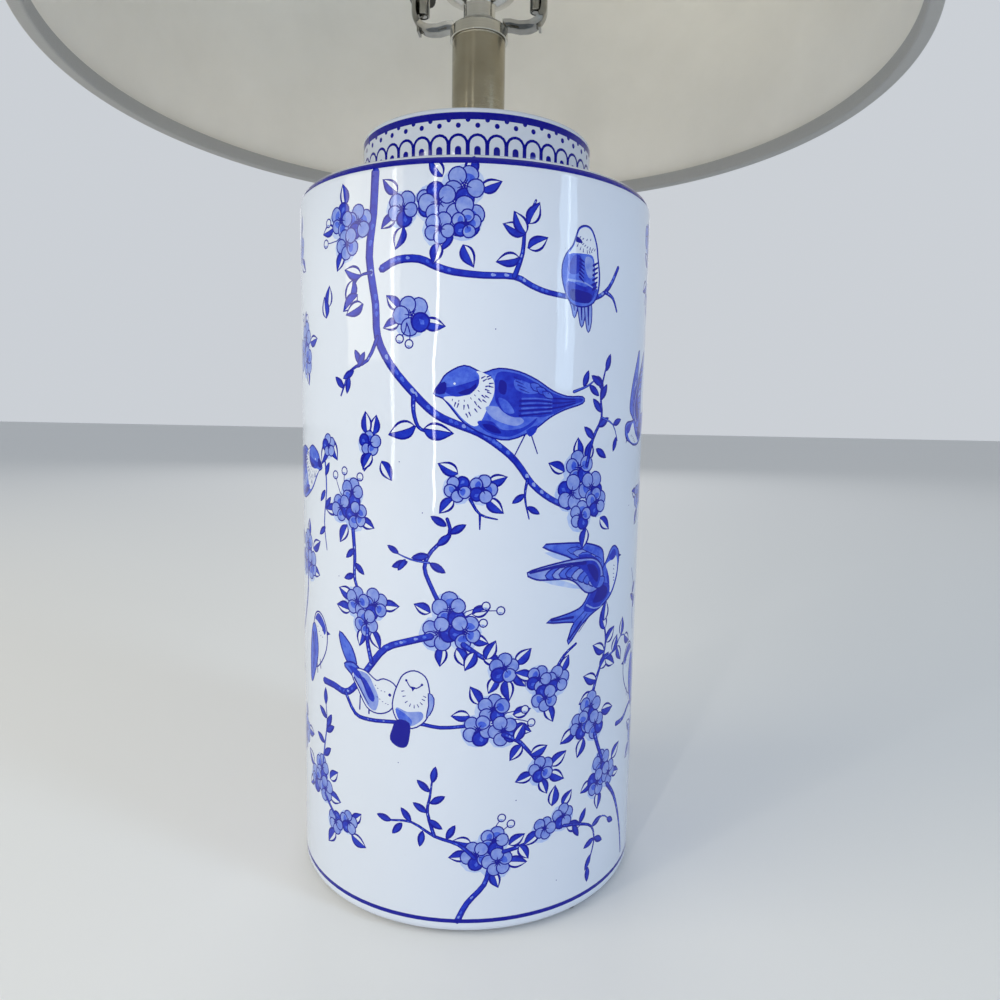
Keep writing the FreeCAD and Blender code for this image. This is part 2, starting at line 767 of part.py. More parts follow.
def cone_skin(label, outside, inside):
    """A slice of the drum's wall between two insets from its outer face."""
    turned_piece(label, shade_bottom, [
        (f"shade_bottom_radius - {inside}", 0),
        (f"shade_bottom_radius - {outside}", 0),
        (f"shade_top_radius - {outside}", "shade_height"),
        (f"shade_top_radius - {inside}", "shade_height"),
    ])


def ring(label, radius, level):
    torus = doc.addObject("Part::Torus", label)
    torus.Label = label
    bind(torus, Radius1=radius, Radius2="ring_wire_radius", Placement__Base__z=level)
    nodes.append(torus)


def trim(label, edge_radius, level, up):
    """A tape folded round the drum's edge and its ring. Up is 1 at the bottom edge, and -1 at the
    top edge."""
    inner = f"({backing_inside} + 2 * ring_wire_radius + trim_gap)"
    fold = f"({inner} + trim_thickness)"

    def at(inset, rise):
        return (f"{edge_radius} - {inset} - {up} * {rise} * {slope}", f"{up} * {rise}")

    return turned_piece(label, level, [
        at("(-1 * trim_thickness - skin_gap)", "trim_outside"),
        at("(-1 * trim_thickness - skin_gap)", "(-1 * trim_thickness - skin_gap)"),
        at(fold, "(-1 * trim_thickness - skin_gap)"),
        at(fold, "trim_inside"),
        at(inner, "trim_inside"),
        at(inner, "(-1 * skin_gap)"),
        at("(-1 * skin_gap)", "(-1 * skin_gap)"),
        at("(-1 * skin_gap)", "trim_outside"),
    ])


def make_shade():
    cone_skin("shade_cover", "0", cover_inside)
    cone_skin("shade_backing", cover_inside, backing_inside)
    ring("shade_bottom_ring",
         f"shade_bottom_radius - {ring_inset} - {slope} * ring_wire_radius - skin_gap",
         f"{shade_bottom} + ring_wire_radius")
    ring("shade_top_ring", top_ring_radius, f"{shade_top} - ring_wire_radius")
    trim("shade_bottom_trim", "shade_bottom_radius", shade_bottom, 1)
    top_trim = trim("shade_top_trim", "shade_top_radius", shade_top, -1)
    notch = circle_sketch(top_trim, "YZ_Plane", 0, "-1 * ring_wire_radius",
                          "spider_wire_radius + skin_gap", "shade_top_radius / 2")
    cut = pocket(top_trim, notch, f"{top_ring_radius} - shade_top_radius / 2", reverse=True)
    turn_copies(top_trim, [cut], SPIDER_ARM_COUNT)


def make_spider():
    """A washer over the harp's stud, and arms that dip from the top ring down onto it."""
    ring_piece("spider_washer", harp_top, "spider_washer_radius", "spider_hole_radius",
               "spider_washer_thickness")
    body = new_body("spider_arms", spider_top)
    low = "spider_wire_radius"
    high = "(spider_drop - spider_washer_thickness - ring_wire_radius)"
    end = f"({top_ring_radius} - ring_wire_radius)"
    path = new_sketch(body, "XZ_Plane")
    draw(path, [
        ("spider_inner_radius", low),
        ("spider_rise_radius", low, "spider_bend"),
        ("spider_level_radius", high, "spider_bend"),
        (end, high),
    ], closed=False)
    section = circle_sketch(body, "YZ_Plane", 0, low, "spider_wire_radius",
                            "spider_inner_radius")
    turn_copies(body, [pipe(body, section, path)], SPIDER_ARM_COUNT)


def make_finial():
    """A turned metal knob over a brass insert that screws down the stud."""
    ring_piece("finial_insert", spider_top, "insert_radius", "stud_radius + thread_clearance",
               "insert_height")
    bore = "(insert_radius + thread_clearance)"
    waist = "finial_waist_height"
    turned_piece("finial_knob", spider_top, [
        (bore, 0),
        ("finial_foot_radius", 0, "finial_round / 2"),
        ("finial_foot_radius", "finial_foot_height", "finial_round"),
        ("finial_waist_radius", "finial_foot_height + finial_step", "finial_round"),
        ("finial_waist_radius", waist, "finial_round"),
        ("finial_ball_radius", f"{waist} + finial_ball_radius * 0.45", "finial_ball_radius * 0.8"),
        ("finial_ball_radius", f"{waist} + finial_ball_radius * 2", "finial_ball_radius * 0.9"),
        (0, f"{waist} + finial_ball_radius * 2"),
        (0, "insert_height + thread_clearance"),
        (bore, "insert_height + thread_clearance"),
    ])


# ---- Build, check and write -------------------------------------------------------------------

for make in (make_jar, make_pads, make_inlet, make_clamp_stack, make_neck, make_saddle, make_harp,
             make_harp_top, make_sleeves, make_socket_cap, make_socket_shell, make_switch_block,
             make_screw_shell, make_switch, make_bulb, make_shade, make_spider, make_finial):
    make()
doc.recompute()

for thing in doc.Objects:
    if {"Invalid", "Error"} & set(thing.State):
        raise RuntimeError(f"{thing.Label}: {thing.State}")
os.makedirs("parts", exist_ok=True)
for node in nodes:
    if node.Shape.isNull() or not node.Shape.isValid() or not node.Shape.Solids:
        raise RuntimeError(f"{node.Label}: no valid solid")
for node in nodes:
    node.Shape.exportStep(f"parts/{node.Label}.step")
    print(f"{node.Label}: {len(node.Shape.Solids)} solid, {node.Shape.Volume:.0f} mm3")
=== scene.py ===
import json
import math
import random

import bpy
import bmesh
from mathutils import Matrix, Vector
from mathutils.geometry import delaunay_2d_cdt


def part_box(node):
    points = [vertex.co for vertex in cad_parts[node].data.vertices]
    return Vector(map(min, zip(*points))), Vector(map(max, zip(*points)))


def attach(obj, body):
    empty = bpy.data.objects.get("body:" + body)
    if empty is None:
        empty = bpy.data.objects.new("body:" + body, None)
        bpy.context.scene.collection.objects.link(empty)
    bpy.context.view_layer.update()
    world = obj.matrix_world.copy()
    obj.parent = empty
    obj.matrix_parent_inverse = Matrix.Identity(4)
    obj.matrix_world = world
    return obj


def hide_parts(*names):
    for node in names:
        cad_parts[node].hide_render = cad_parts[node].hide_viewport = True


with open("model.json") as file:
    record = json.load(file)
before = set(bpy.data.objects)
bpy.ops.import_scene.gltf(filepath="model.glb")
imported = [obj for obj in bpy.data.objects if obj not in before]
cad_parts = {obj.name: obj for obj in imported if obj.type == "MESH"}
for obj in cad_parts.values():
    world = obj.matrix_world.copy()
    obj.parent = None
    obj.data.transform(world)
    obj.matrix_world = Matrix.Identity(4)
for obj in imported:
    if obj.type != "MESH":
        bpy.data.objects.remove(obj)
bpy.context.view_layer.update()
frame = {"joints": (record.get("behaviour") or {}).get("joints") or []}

scene = bpy.context.scene
MM = 0.001

# ---- Camera and stage ----------------------------------------------------------------------------
# The viewer stands close in front of the jar, a little to its right, and sees it up to the neck and
# the inside of the shade. The stage is a pale floor, a pale surround and soft window light.

VIEWER_SIDE = math.radians(8)
VIEWER_DISTANCE = 0.3773
VIEWER_HEIGHT = 0.218
VIEWER_YAW = math.radians(-2.1)
VIEWER_PITCH = math.radians(-6.22)
VIEWER_ROLL = math.radians(1.03)
VIEWER_LENS = 27.1


def around(angle, distance, height):
    """A place at an angle round the jar from its front, counted towards its right."""
    return Vector((math.sin(angle) * distance, -math.cos(angle) * distance, height))


viewer = bpy.data.objects.new("viewer", bpy.data.cameras.new("viewer"))
viewer.data.lens = VIEWER_LENS
viewer.data.clip_start = 0.01
viewer.matrix_world = (Matrix.Translation(around(VIEWER_SIDE, VIEWER_DISTANCE, VIEWER_HEIGHT))
                       @ Matrix.Rotation(VIEWER_SIDE + VIEWER_YAW, 4, "Z")
                       @ Matrix.Rotation(math.radians(90) + VIEWER_PITCH, 4, "X")
                       @ Matrix.Rotation(VIEWER_ROLL, 4, "Z"))
scene.collection.objects.link(viewer)
scene.camera = viewer
scene.view_settings.view_transform = "Standard"


def node(tree, kind, inputs=None, **settings):
    """Add a node. Each input is given by name or number, as a value, as the socket that feeds it,
    or as a node, whose first output then feeds it."""
    added = tree.nodes.new(kind)
    for name, setting in settings.items():
        setattr(added, name, setting)
    for key, given in (inputs or {}).items():
        if isinstance(given, bpy.types.Node):
            given = given.outputs[0]
        if isinstance(given, bpy.types.NodeSocket):
            tree.links.new(given, added.inputs[key])
        else:
            added.inputs[key].default_value = given
    return added


def maths(tree, operation, *terms):
    """A node that does one sum with numbers or sockets; gives the socket of its result."""
    return node(tree, "ShaderNodeMath", dict(enumerate(terms)), operation=operation).outputs[0]


def window(name, angle, distance, height, width, tall, power, colour, aim=0.25, mirrored=True):
    """A soft rectangular light at an angle from the viewer's line, turned to the lamp."""
    light = bpy.data.lights.new(name, "AREA")
    light.shape = "RECTANGLE"
    light.size = width
    light.size_y = tall
    light.energy = power
    light.color = colour
    lamp = bpy.data.objects.new(name, light)
    place = around(VIEWER_SIDE + math.radians(angle), distance, height)
    lamp.location = place
    lamp.rotation_euler = (place - Vector((0, 0, aim))).to_track_quat("Z", "Y").to_euler()
    lamp.visible_glossy = mirrored
    scene.collection.objects.link(lamp)


window("left_window", -66, 1.9, 1.05, 1.5, 1.4, 21, (1.0, 0.91, 0.68))
window("slit_window", -23, 1.1, 0.62, 0.03, 1.1, 2.2, (1.0, 0.98, 0.93), aim=0.62)
window("left_slit", -50, 1.2, 0.60, 0.05, 1.0, 1.5, (1.0, 0.97, 0.90), aim=0.6)
window("front_window", 10, 1.0, 0.16, 1.6, 0.26, 2.0, (1.0, 0.94, 0.84), aim=0.5, mirrored=False)
window("right_window", 57, 2.0, 1.05, 0.42, 1.5, 11, (0.56, 0.77, 1.0), aim=1.05)
window("right_slit", 57, 1.95, 1.05, 0.05, 1.3, 1.4, (0.80, 0.92, 1.0), aim=1.05)
window("back_window", 180, 2.6, 1.3, 1.6, 1.2, 9, (1.0, 1.0, 1.0))

surround = bpy.data.worlds.new("surround")
surround.use_nodes = True
scene.world = surround
sky = surround.node_tree
sky.nodes.clear()
path = node(sky, "ShaderNodeLightPath")
seen = maths(sky, "MAXIMUM", path.outputs["Is Camera Ray"], path.outputs["Is Glossy Ray"])
seen = maths(sky, "MAXIMUM", seen, path.outputs["Is Transmission Ray"])
light = node(sky, "ShaderNodeBackground", {"Color": (0.86, 0.93, 1.0, 1), "Strength": 0.46})
backdrop = node(sky, "ShaderNodeBackground", {"Color": (0.60, 0.63, 0.67, 1), "Strength": 1.0})
mixed = node(sky, "ShaderNodeMixShader", {0: seen, 1: light, 2: backdrop})
node(sky, "ShaderNodeOutputWorld", {"Surface": mixed})


def finish_material(name, plain):
    """A material with one Principled shader whose plain sockets are set by name."""
    material = bpy.data.materials.new(name)
    material.use_nodes = True
    principled = material.node_tree.nodes["Principled BSDF"]
    for socket, setting in plain.items():
        principled.inputs[socket].default_value = setting
    return material, material.node_tree, principled


def mesh_piece(name, verts, faces, materials, smooth=True):
    """A mesh object from points in metres, with its materials."""
    mesh = bpy.data.meshes.new(name)
    mesh.from_pydata([tuple(v) for v in verts], [], faces)
    for material in materials:
        mesh.materials.append(material)
    mesh.polygons.foreach_set("use_smooth", [smooth] * len(mesh.polygons))
    piece = bpy.data.objects.new(name, mesh)
    scene.collection.objects.link(piece)
    return piece


FLOOR_REACH = 12.0
floor_white, tree, shader = finish_material("floor_white", {"Roughness": 0.6})
speck = node(tree, "ShaderNodeTexNoise", {"Scale": 3.0, "Detail": 3.0})
pale = node(tree, "ShaderNodeMix", {"Factor": speck, "A": (0.80, 0.80, 0.80, 1),
                                    "B": (0.84, 0.84, 0.84, 1)}, data_type="RGBA")
tree.links.new(pale.outputs["Result"], shader.inputs["Base Color"])
floor = mesh_piece("floor", [(-FLOOR_REACH, -FLOOR_REACH, 0), (FLOOR_REACH, -FLOOR_REACH, 0),
                             (FLOOR_REACH, FLOOR_REACH, 0), (-FLOOR_REACH, FLOOR_REACH, 0)],
                   [(0, 1, 2, 3)], [floor_white], smooth=False)

# ---- Painting on the jar -------------------------------------------------------------------------
# Birds and plum blossom in cobalt under the glaze, outlined with a fine brush and filled with
# washes. It is drawn flat here, in mm: along the wall from the viewer's line, up from the floor.

JAR_RADIUS = 82.5
PATTERN_WIDTH = math.pi * JAR_RADIUS
TONES = ("glaze", "haze", "pale", "mid", "strong", "cobalt")
LINE = 0.75
brush = random.Random(11)
haze_shapes = []
shapes = []


def paint(tone, outline):
    """Lay one closed shape over what is there already; haze always lies under everything."""
    points = [Vector(p) for p in outline]
    area = sum(p.x * q.y - q.x * p.y for p, q in zip(points, points[1:] + points[:1]))
    if abs(area) < 0.01:
        return
    (haze_shapes if tone == "haze" else shapes).append((tone, points if area > 0 else points[::-1]))


def patch(tone, corners):
    """A small shape between corners given in any order."""
    middle = sum(corners, Vector((0, 0))) / len(corners)
    paint(tone, sorted(corners, key=lambda corner: math.atan2(corner.y - middle.y,
                                                              corner.x - middle.x)))


def flowing(points, closed=False, steps=4):
    """Points along a smooth line through the given ones."""
    points = [Vector(p) for p in points]
    count = len(points)
    line = []
    for i in range(count if closed else count - 1):
        a, b, c, d = [points[k % count] if closed else points[min(max(k, 0), count - 1)]
                      for k in (i - 1, i, i + 1, i + 2)]
        for step in range(steps):
            t = step / steps
            line.append(b + ((c - a) * t + (2 * a - 5 * b + 4 * c - d) * t * t
                             + (3 * b - a - 3 * c + d) * t ** 3) / 2)
    return line if closed else line + [points[-1]]


def wash(tone, outline, steps=4):
    """A filled shape with a smooth outline."""
    paint(tone, flowing(outline, closed=True, steps=steps))


def stroke(tone, points, width, end_width=None, steps=3, shift=0.0):
    """A brush stroke along a smooth line, with its width going from one size to the other."""
    line = flowing(points, steps=steps)
    end_width = width if end_width is None else end_width
    runs = [(b - a).normalized() for a, b in zip(line, line[1:]) if (b - a).length > 1e-4]
    line = [line[0]] + [b for a, b in zip(line, line[1:]) if (b - a).length > 1e-4]
    sides = []
    for i, point in enumerate(line):
        run = (runs[max(i - 1, 0)] + runs[min(i, len(runs) - 1)]).normalized()
        side = Vector((-run.y, run.x))
        half = (width + (end_width - width) * i / (len(line) - 1)) / 2
        middle = point + side * shift * half
        sides.append((middle + side * half, middle - side * half))
    for (a, b), (c, d) in zip(sides, sides[1:]):
        patch(tone, [a, b, c, d])
    for (a, b), run, across in ((sides[0], -runs[0], width), (sides[-1], runs[-1], end_width)):
        if across > 0.5:
            tip = (a + b) / 2 + run * across * 0.4
            patch(tone, [a, b, tip + (b - a) * 0.22, tip - (b - a) * 0.22])


def at(x, y, turn=0.0, size=1.0, flip=1):
    """Puts a motif's own points in their place: flipped, turned, scaled and moved. Motifs are
    drawn round their own middle, in mm at size 1."""
    cos, sin = math.cos(math.radians(turn)) * size, math.sin(math.radians(turn)) * size

    def place(points):
        return [(x + cos * px * flip - sin * py, y + sin * px * flip + cos * py)
                for px, py in points]
    return place


def edged(tone, outline, line=LINE, steps=3):
    """A filled shape with a dark brush line round it."""
    inner = flowing(outline, closed=True, steps=steps)
    count = len(inner)
    outer = []
    for i, point in enumerate(inner):
        run = (inner[(i + 1) % count] - inner[i - 1]).normalized()
        outer.append(point + Vector((run.y, -run.x)) * line)
    area = sum(p.x * q.y - q.x * p.y for p, q in zip(inner, inner[1:] + inner[:1]))
    if area < 0:
        outer = [2 * p - q for p, q in zip(inner, outer)]
    for i in range(count):
        j = (i + 1) % count
        patch("cobalt", [inner[i], inner[j], outer[j], outer[i]])
    paint(tone, inner)


def dot(tone, x, y, radius, sides=8):
    """A small filled round."""
    paint(tone, [(x + radius * math.cos(k * 2 * math.pi / sides),
                  y + radius * math.sin(k * 2 * math.pi / sides)) for k in range(sides)])


PETAL = [(0.18, 0.0), (0.32, -0.32), (0.63, -0.46), (0.95, -0.35), (1.09, 0.0), (0.95, 0.36),
         (0.62, 0.46), (0.31, 0.31)]
PETAL_SHADE = [(0.24, 0.0), (0.36, -0.26), (0.64, -0.34), (0.72, -0.06), (0.60, 0.22), (0.36, 0.24)]
PETAL_LIGHT = [(0.45, 0.10), (0.75, 0.20), (0.90, 0.04), (0.72, -0.08)]


def flower(x, y, turn=0.0, dark=-1, size=6.0, petals=5):
    """An open blossom: petals round a small ring. One of them may be filled in dark."""
    haze = brush.uniform(0.2, 0.9)
    wash("haze", [(x - haze + size * brush.uniform(1.15, 1.3) * math.cos(a),
                   y - haze + size * brush.uniform(1.15, 1.3) * math.sin(a))
                  for a in (0.0, 1.05, 2.09, 3.14, 4.19, 5.24)], 2)
    for k in range(petals):
        place = at(x, y, turn + 360 * k / petals + brush.uniform(-6, 6),
                   size * brush.uniform(0.93, 1.09))
        if k == dark:
            edged("strong", place(PETAL), steps=2)
            paint("mid", place(PETAL_LIGHT))
            continue
        edged("pale", place(PETAL), 0.55, steps=2)
        if brush.random() < 0.35:
            wash("mid", place(PETAL_SHADE), 2)
        elif brush.random() < 0.5:
            wash("haze", place(PETAL_LIGHT), 2)
        stroke("cobalt", place([(0.12, 0), (0.42, brush.uniform(-0.06, 0.06))]), 0.7, 0.2, steps=1)
    dot("cobalt", x, y, 0.7, 7)


LEAF = [(0.0, 0.0), (0.28, 0.19), (0.62, 0.20), (1.0, 0.0), (0.62, -0.20), (0.28, -0.19)]


def leaf(x, y, turn, length=6.5, dark=1, wide=1.0):
    """A pointed leaf with one half dark and the other left white."""
    place = at(x, y, turn, length)
    upper = flowing([(0.02, 0), (0.25, 0.2 * wide), (0.6, 0.21 * wide), (1, 0.02)], steps=3)
    lower = flowing([(0.02, 0), (0.25, -0.2 * wide), (0.6, -0.21 * wide), (1, 0.02)], steps=3)
    rib = flowing([(0.02, 0), (0.5, 0.03), (0.94, 0.02)], steps=2)
    grow = 1 + LINE / (0.2 * wide * length)
    paint("cobalt", place([Vector((p.x * 1.10 - 0.04, p.y * grow))
                           for p in upper + lower[-2:0:-1]]))
    full, open_half = (upper, lower) if dark > 0 else (lower, upper)
    paint("strong", place(full + rib[::-1]))
    shift = -0.035 * dark
    paint("glaze", place([(p.x, p.y * 0.92) for p in open_half[1:-1]]
                         + [(p.x, p.y + shift) for p in rib[-1:0:-1]]))


def dark_leaf(x, y, turn, length=6.0, tone="strong"):
    """A leaf made with two pulls of a loaded brush."""
    place = at(x, y, turn, length)
    paint("cobalt", place(flowing(LEAF, closed=True, steps=2)))
    inner = [(px * 0.8 + 0.1, py * 0.5 + 0.02) for px, py in LEAF]
    paint(tone, place(flowing(inner, closed=True, steps=2)))


def spray(make, length, *places, **look):
    """Leaves of one kind and length, each at its (x, y, turn)."""
    for place in places:
        make(*place, length, **look)


def branch(points, width=2.1, end_width=None):
    """A branch: dark edges, a lighter wash between them and mottled spots of paler blue."""
    end_width = width if end_width is None else end_width
    stroke("cobalt", points, width, end_width)
    inner, inner_end = max(width - 1.05, 0.25), max(end_width - 0.95, 0.12)
    stroke("strong", points, inner, inner_end, shift=0.22)
    line = flowing(points, steps=5)
    for a, b in zip(line, line[1:]):
        if brush.random() < 0.45:
            along = brush.uniform(0.1, 0.5)
            stroke("mid" if brush.random() < 0.7 else "pale",
                   [a + (b - a) * along, a + (b - a) * (along + 0.45)],
                   inner * 0.55, inner * 0.3, steps=1, shift=0.5)


def twig(points, width=1.0, end_width=0.45):
    """A thin shoot in one pull of the brush, with a light along a thicker one."""
    stroke("cobalt", points, width, end_width)
    if width > 1.0:
        stroke("mid", points, width * 0.42, 0.1, shift=0.2)


def buds(x, y, *ends):
    """Round buds on thin stalks."""
    for bx, by in ends:
        bend = ((bx + x) / 2 + (y - by) * 0.12, (by + y) / 2 + (bx - x) * 0.12)
        stroke("cobalt", [(x, y), bend, (bx, by)], 0.55, 0.4, steps=2)
        dot("cobalt", bx, by, 1.95, 12)
        dot("glaze", bx, by, 1.38, 12)
        paint("pale", [(bx - 1.2, by - 0.5), (bx - 0.2, by - 1.32), (bx + 1.0, by - 0.85),
                       (bx + 0.1, by - 0.6)])


def cluster(x, y, turn=0.0, flowers=3, leaves=(), bud_ends=(), size=6.0):
    """Blossoms that overlap at a branch's end, with leaves that stick out from behind."""
    spread = size * 0.98
    for angle in leaves:
        reach = spread * (1.55 if flowers > 1 else 0.85)
        a = math.radians(angle)
        leaf(x + reach * math.cos(a), y + reach * math.sin(a), angle + brush.uniform(-22, 22),
             brush.uniform(7.2, 9.2), brush.choice((-1, 1)))
    if bud_ends:
        buds(x, y, *[(x + dx, y + dy) for dx, dy in bud_ends])
    if flowers == 1:
        flower(x, y, turn, dark=brush.randrange(5), size=size)
        return
    for k in range(flowers):
        a = math.radians(turn + 360 * k / flowers)
        flower(x + spread * math.cos(a), y + spread * math.sin(a), turn + 50 * k,
               dark=brush.choice((-1, 0, 2, 3)) if k else 3, size=size * brush.uniform(0.92, 1.04))


def dashes(points, count, length=1.1, lean=90, width=0.4):
    """A row of short brush ticks along a smooth line."""
    line = flowing(points, steps=6)
    last = len(line) - 1
    for k in range(count):
        i = round(k * last / max(count - 1, 1))
        here, ahead, behind = line[i], line[min(i + 1, last)], line[max(i - 1, 0)]
        run = math.degrees(math.atan2(ahead.y - behind.y, ahead.x - behind.x)) + lean
        half = Vector((math.cos(math.radians(run)), math.sin(math.radians(run)))) * length / 2
        stroke("cobalt", [here - half, here + half], width, width * 0.5, steps=1)


def finch(x, y, size=1.0, flip=1, turn=0.0):
    """A plump finch on a branch, looking along it: dark cap, ticked collar and mottled wing."""
    put = at(x, y, turn, size, flip)
    for foot in ((3, -20.5), (13, -19)):
        stroke("cobalt", put([(9, -8.5), foot]), 0.6, 0.5, steps=1)
    edged("mid", put([
        (-28.5, 4), (-26, 8), (-23.5, 11.5), (-17, 14.6), (-11.5, 12.6), (-9.5, 11.9), (-3.5, 13.8),
        (4.5, 12.8), (12, 9.8), (19, 5.8), (26, 3.8), (33.5, 3.9), (33.5, 1.7), (25, -0.9),
        (18, -4.2), (11, -9.2), (1, -13.2), (-8, -11.6), (-16.5, -7), (-22, -0.8), (-25, 2.4)]),
        0.6)
    wash("glaze", put([
        (-12.6, 12.4), (-8.6, 11.8), (-5.6, 9.6), (-5.2, 4.6), (-7.6, -1.2), (-11.6, -8.2),
        (-16.6, -6.2), (-21.8, -0.4), (-24.8, 2.6), (-19, 3.2), (-13.6, 4.6)]))
    wash("pale", put([(-8.5, -1), (-5, -5.5), (3, -8), (7, -6), (3, -3.5), (-3, -0.8)]))
    wash("strong", put([
        (-4, 12.4), (4, 12.2), (11.6, 9.2), (19, 5.2), (24, 3), (18, -3.6), (9, -4.4), (1.6, -4.4),
        (-3.6, -0.4), (-5, 4.8)]))
    wash("mid", put([(3, 10), (9, 8.6), (13, 5.4), (8, 4.6), (3.4, 6.4)]))
    wash("mid", put([(-3.6, 2.6), (0, 1.6), (3, -2.8), (-1, -2.6)]))
    wash("strong", put([
        (-11.6, -6.6), (-6, -6.4), (-1.5, -9.6), (6.5, -8.6), (12.5, -4.6), (9.5, -8.4), (1, -12.3),
        (-7.6, -10.6)]))
    wash("cobalt", put([(-3, 9.6), (-0.4, 8.4), (-0.8, 4.2), (-3.4, 5.2)]), 3)
    wash("cobalt", put([(-9.6, -7.6), (-5, -8), (-2, -11), (-6.5, -10.4)]), 3)
    wash("strong", put([(18, 5), (24, 3.6), (33, 3.5), (33, 2.1), (24.6, -0.6), (17, -3.8)]), 2)
    for k in range(3):
        stroke("cobalt", put([
            (17, 3.2 - 2.2 * k), (24, 3.0 - 1.5 * k), (30, 2.9 - 0.7 * k)]), 0.8, 0.4)
    for k in range(4):
        stroke("mid", put([
            (6, 2.6 - 1.9 * k), (12, 2.9 - 1.8 * k), (19, 2.4 - 1.4 * k)]), 0.75, 0.35)
        stroke("cobalt", put([
            (5, 1.7 - 1.9 * k), (12, 2.0 - 1.8 * k), (18.6, 1.6 - 1.4 * k)]), 0.75, 0.4)
    for k in range(3):
        edged("mid", put([
            (9.5 + 2.6 * k, 8.6 - 1.5 * k), (12.6 + 2.6 * k, 8.4 - 1.6 * k),
            (14.0 + 2.6 * k, 5.9 - 1.4 * k), (10.8 + 2.6 * k, 6.2 - 1.3 * k)]), 0.4, steps=2)
    for k in range(4):
        stroke("cobalt", put([
            (2.4 + 0.8 * k, 11.0 - 1.5 * k), (5.4 + 1.2 * k, 9.8 - 1.6 * k)]), 0.45, 0.2, steps=1)
    wash("mid", put([
        (-26.4, 6.2), (-23.6, 11), (-17, 14.2), (-11.6, 12), (-11.4, 8), (-14.6, 4.2), (-21, 3.2)]))
    wash("strong", put([
        (-25.6, 6), (-20, 7), (-13.6, 9), (-11.2, 9.6), (-11.8, 6.6), (-15.4, 3.8), (-21, 3)]))
    wash("cobalt", put([(-19.4, 4.4), (-14.4, 6.4), (-12.2, 8.2), (-12.6, 5.6), (-15.8, 3.6)]), 2)
    wash("cobalt", put([(-28.5, 4.2), (-25.8, 8.2), (-23.8, 8), (-24.4, 4)]), 2)
    dot("glaze", *put([(-20.6, 7.9)])[0], 0.5 * size, 6)
    dashes(put([
        (-9.4, 10.6), (-7.6, 6.4), (-10.6, 1.6), (-16, -1.2), (-20.4, -0.2)]), 11, 1.7, 90, 0.6)
    dashes(put([
        (-7.2, 11), (-6.2, 7.6), (-7.8, 3), (-11.4, -1.8), (-15.6, -4.4)]), 11, 1.7, 90, 0.6)
    dashes(put([(-11.2, 5.2), (-13.6, 2.6), (-17.4, 1.2), (-21.4, 1.6)]), 6, 0.9)
    wash("strong", put([(8, -9.6), (12.6, -7.6), (12, -10.4), (9.4, -12.2)]), 2)


def perched_bird(x, y, size=1.0, flip=1):
    """A budgerigar-like bird from behind, its head turned, its tail down across the branch."""
    put = at(x, y, 0, size, flip)
    for k, (a, b) in enumerate(((-8, -24), (-3.6, -28), (0.6, -30))):
        edged("pale", put([
            (a, -17), (a + 3.6, -17), (a + 4.0, b + 5.0), (a + 2.4, b), (a + 0.8, b + 5.0)]), 0.5)
        stroke("cobalt", put([(a + 1.9, -18), (a + 2.4, b + 3.0)]), 1.1, 0.4)
    edged("mid", put([
        (-5.5, 12.5), (-3.8, 16.2), (0, 17.6), (3.6, 16), (6.6, 10), (7.6, 4.5), (9, -3),
        (8.6, -10), (5.6, -16), (-1, -18.5), (-8, -17), (-12, -9), (-12.6, -1.5), (-10.6, 4),
        (-7.2, 8)]), 0.6)
    wash("glaze", put([
        (-5.2, 12.4), (-3.6, 15.8), (0, 17.2), (3.4, 15.6), (6.3, 9.9), (7.3, 4.5), (8.6, -3),
        (8.2, -9.6), (6.4, -8), (6.2, -2), (4.6, 4.6), (-1, 5.2), (-7, 4.8), (-9.6, 4.2),
        (-6.9, 8)]))
    wash("pale", put([(0.2, 3.8), (3.6, 3.8), (5.2, 1), (5.4, -3.6), (2.6, -5.4), (0, -1)]))
    wash("strong", put([(-7, 3.6), (-2.8, 3.8), (-2.4, -1.6), (-5.6, -4.6), (-9.6, -3.4)]))
    wash("strong", put([
        (-9, -8), (0, -9.6), (7, -6.6), (6.6, -11), (3.6, -16.2), (-7.6, -16), (-10.6, -11)]))
    wash("cobalt", put([(-8, -11.6), (-1, -11.6), (4.6, -13), (2.6, -16.8), (-6.8, -16.4)]))
    stroke("pale", put([(-9.4, -7.4), (-1, -7.6), (5, -9.4)]), 1.0, 0.4)
    for k in range(6):
        stroke("cobalt", put([(7.8, 2.2 - 2.2 * k), (5, 0.6 - 2.2 * k)]), 0.7, 1.1, steps=1)
        stroke("cobalt", put([(-3.2, 2.6 - 1.6 * k), (-0.4, 1.4 - 1.8 * k)]), 1.0, 0.4, steps=1)
    wash("cobalt", put([(-5.8, 12.6), (-5.8, 10), (-2.6, 9.8), (-2.6, 11.2)]), 2)
    dashes(put([(-3.4, 12.4), (-0.6, 11.6), (2.8, 12)]), 4, 0.9, 60, 0.5)
    dashes(put([(-2.4, 10), (1, 8.4), (5.6, 7.8)]), 7, 1.1, 70, 0.45)
    dashes(put([(-4.8, 8.6), (-2, 6.8), (1.4, 6.4), (3.4, 7)]), 6, 1.5, 100, 0.45)
    dashes(put([(7.6, -10.6), (5.6, -13.2), (3, -15.6)]), 6, 1.4, 80, 0.35)


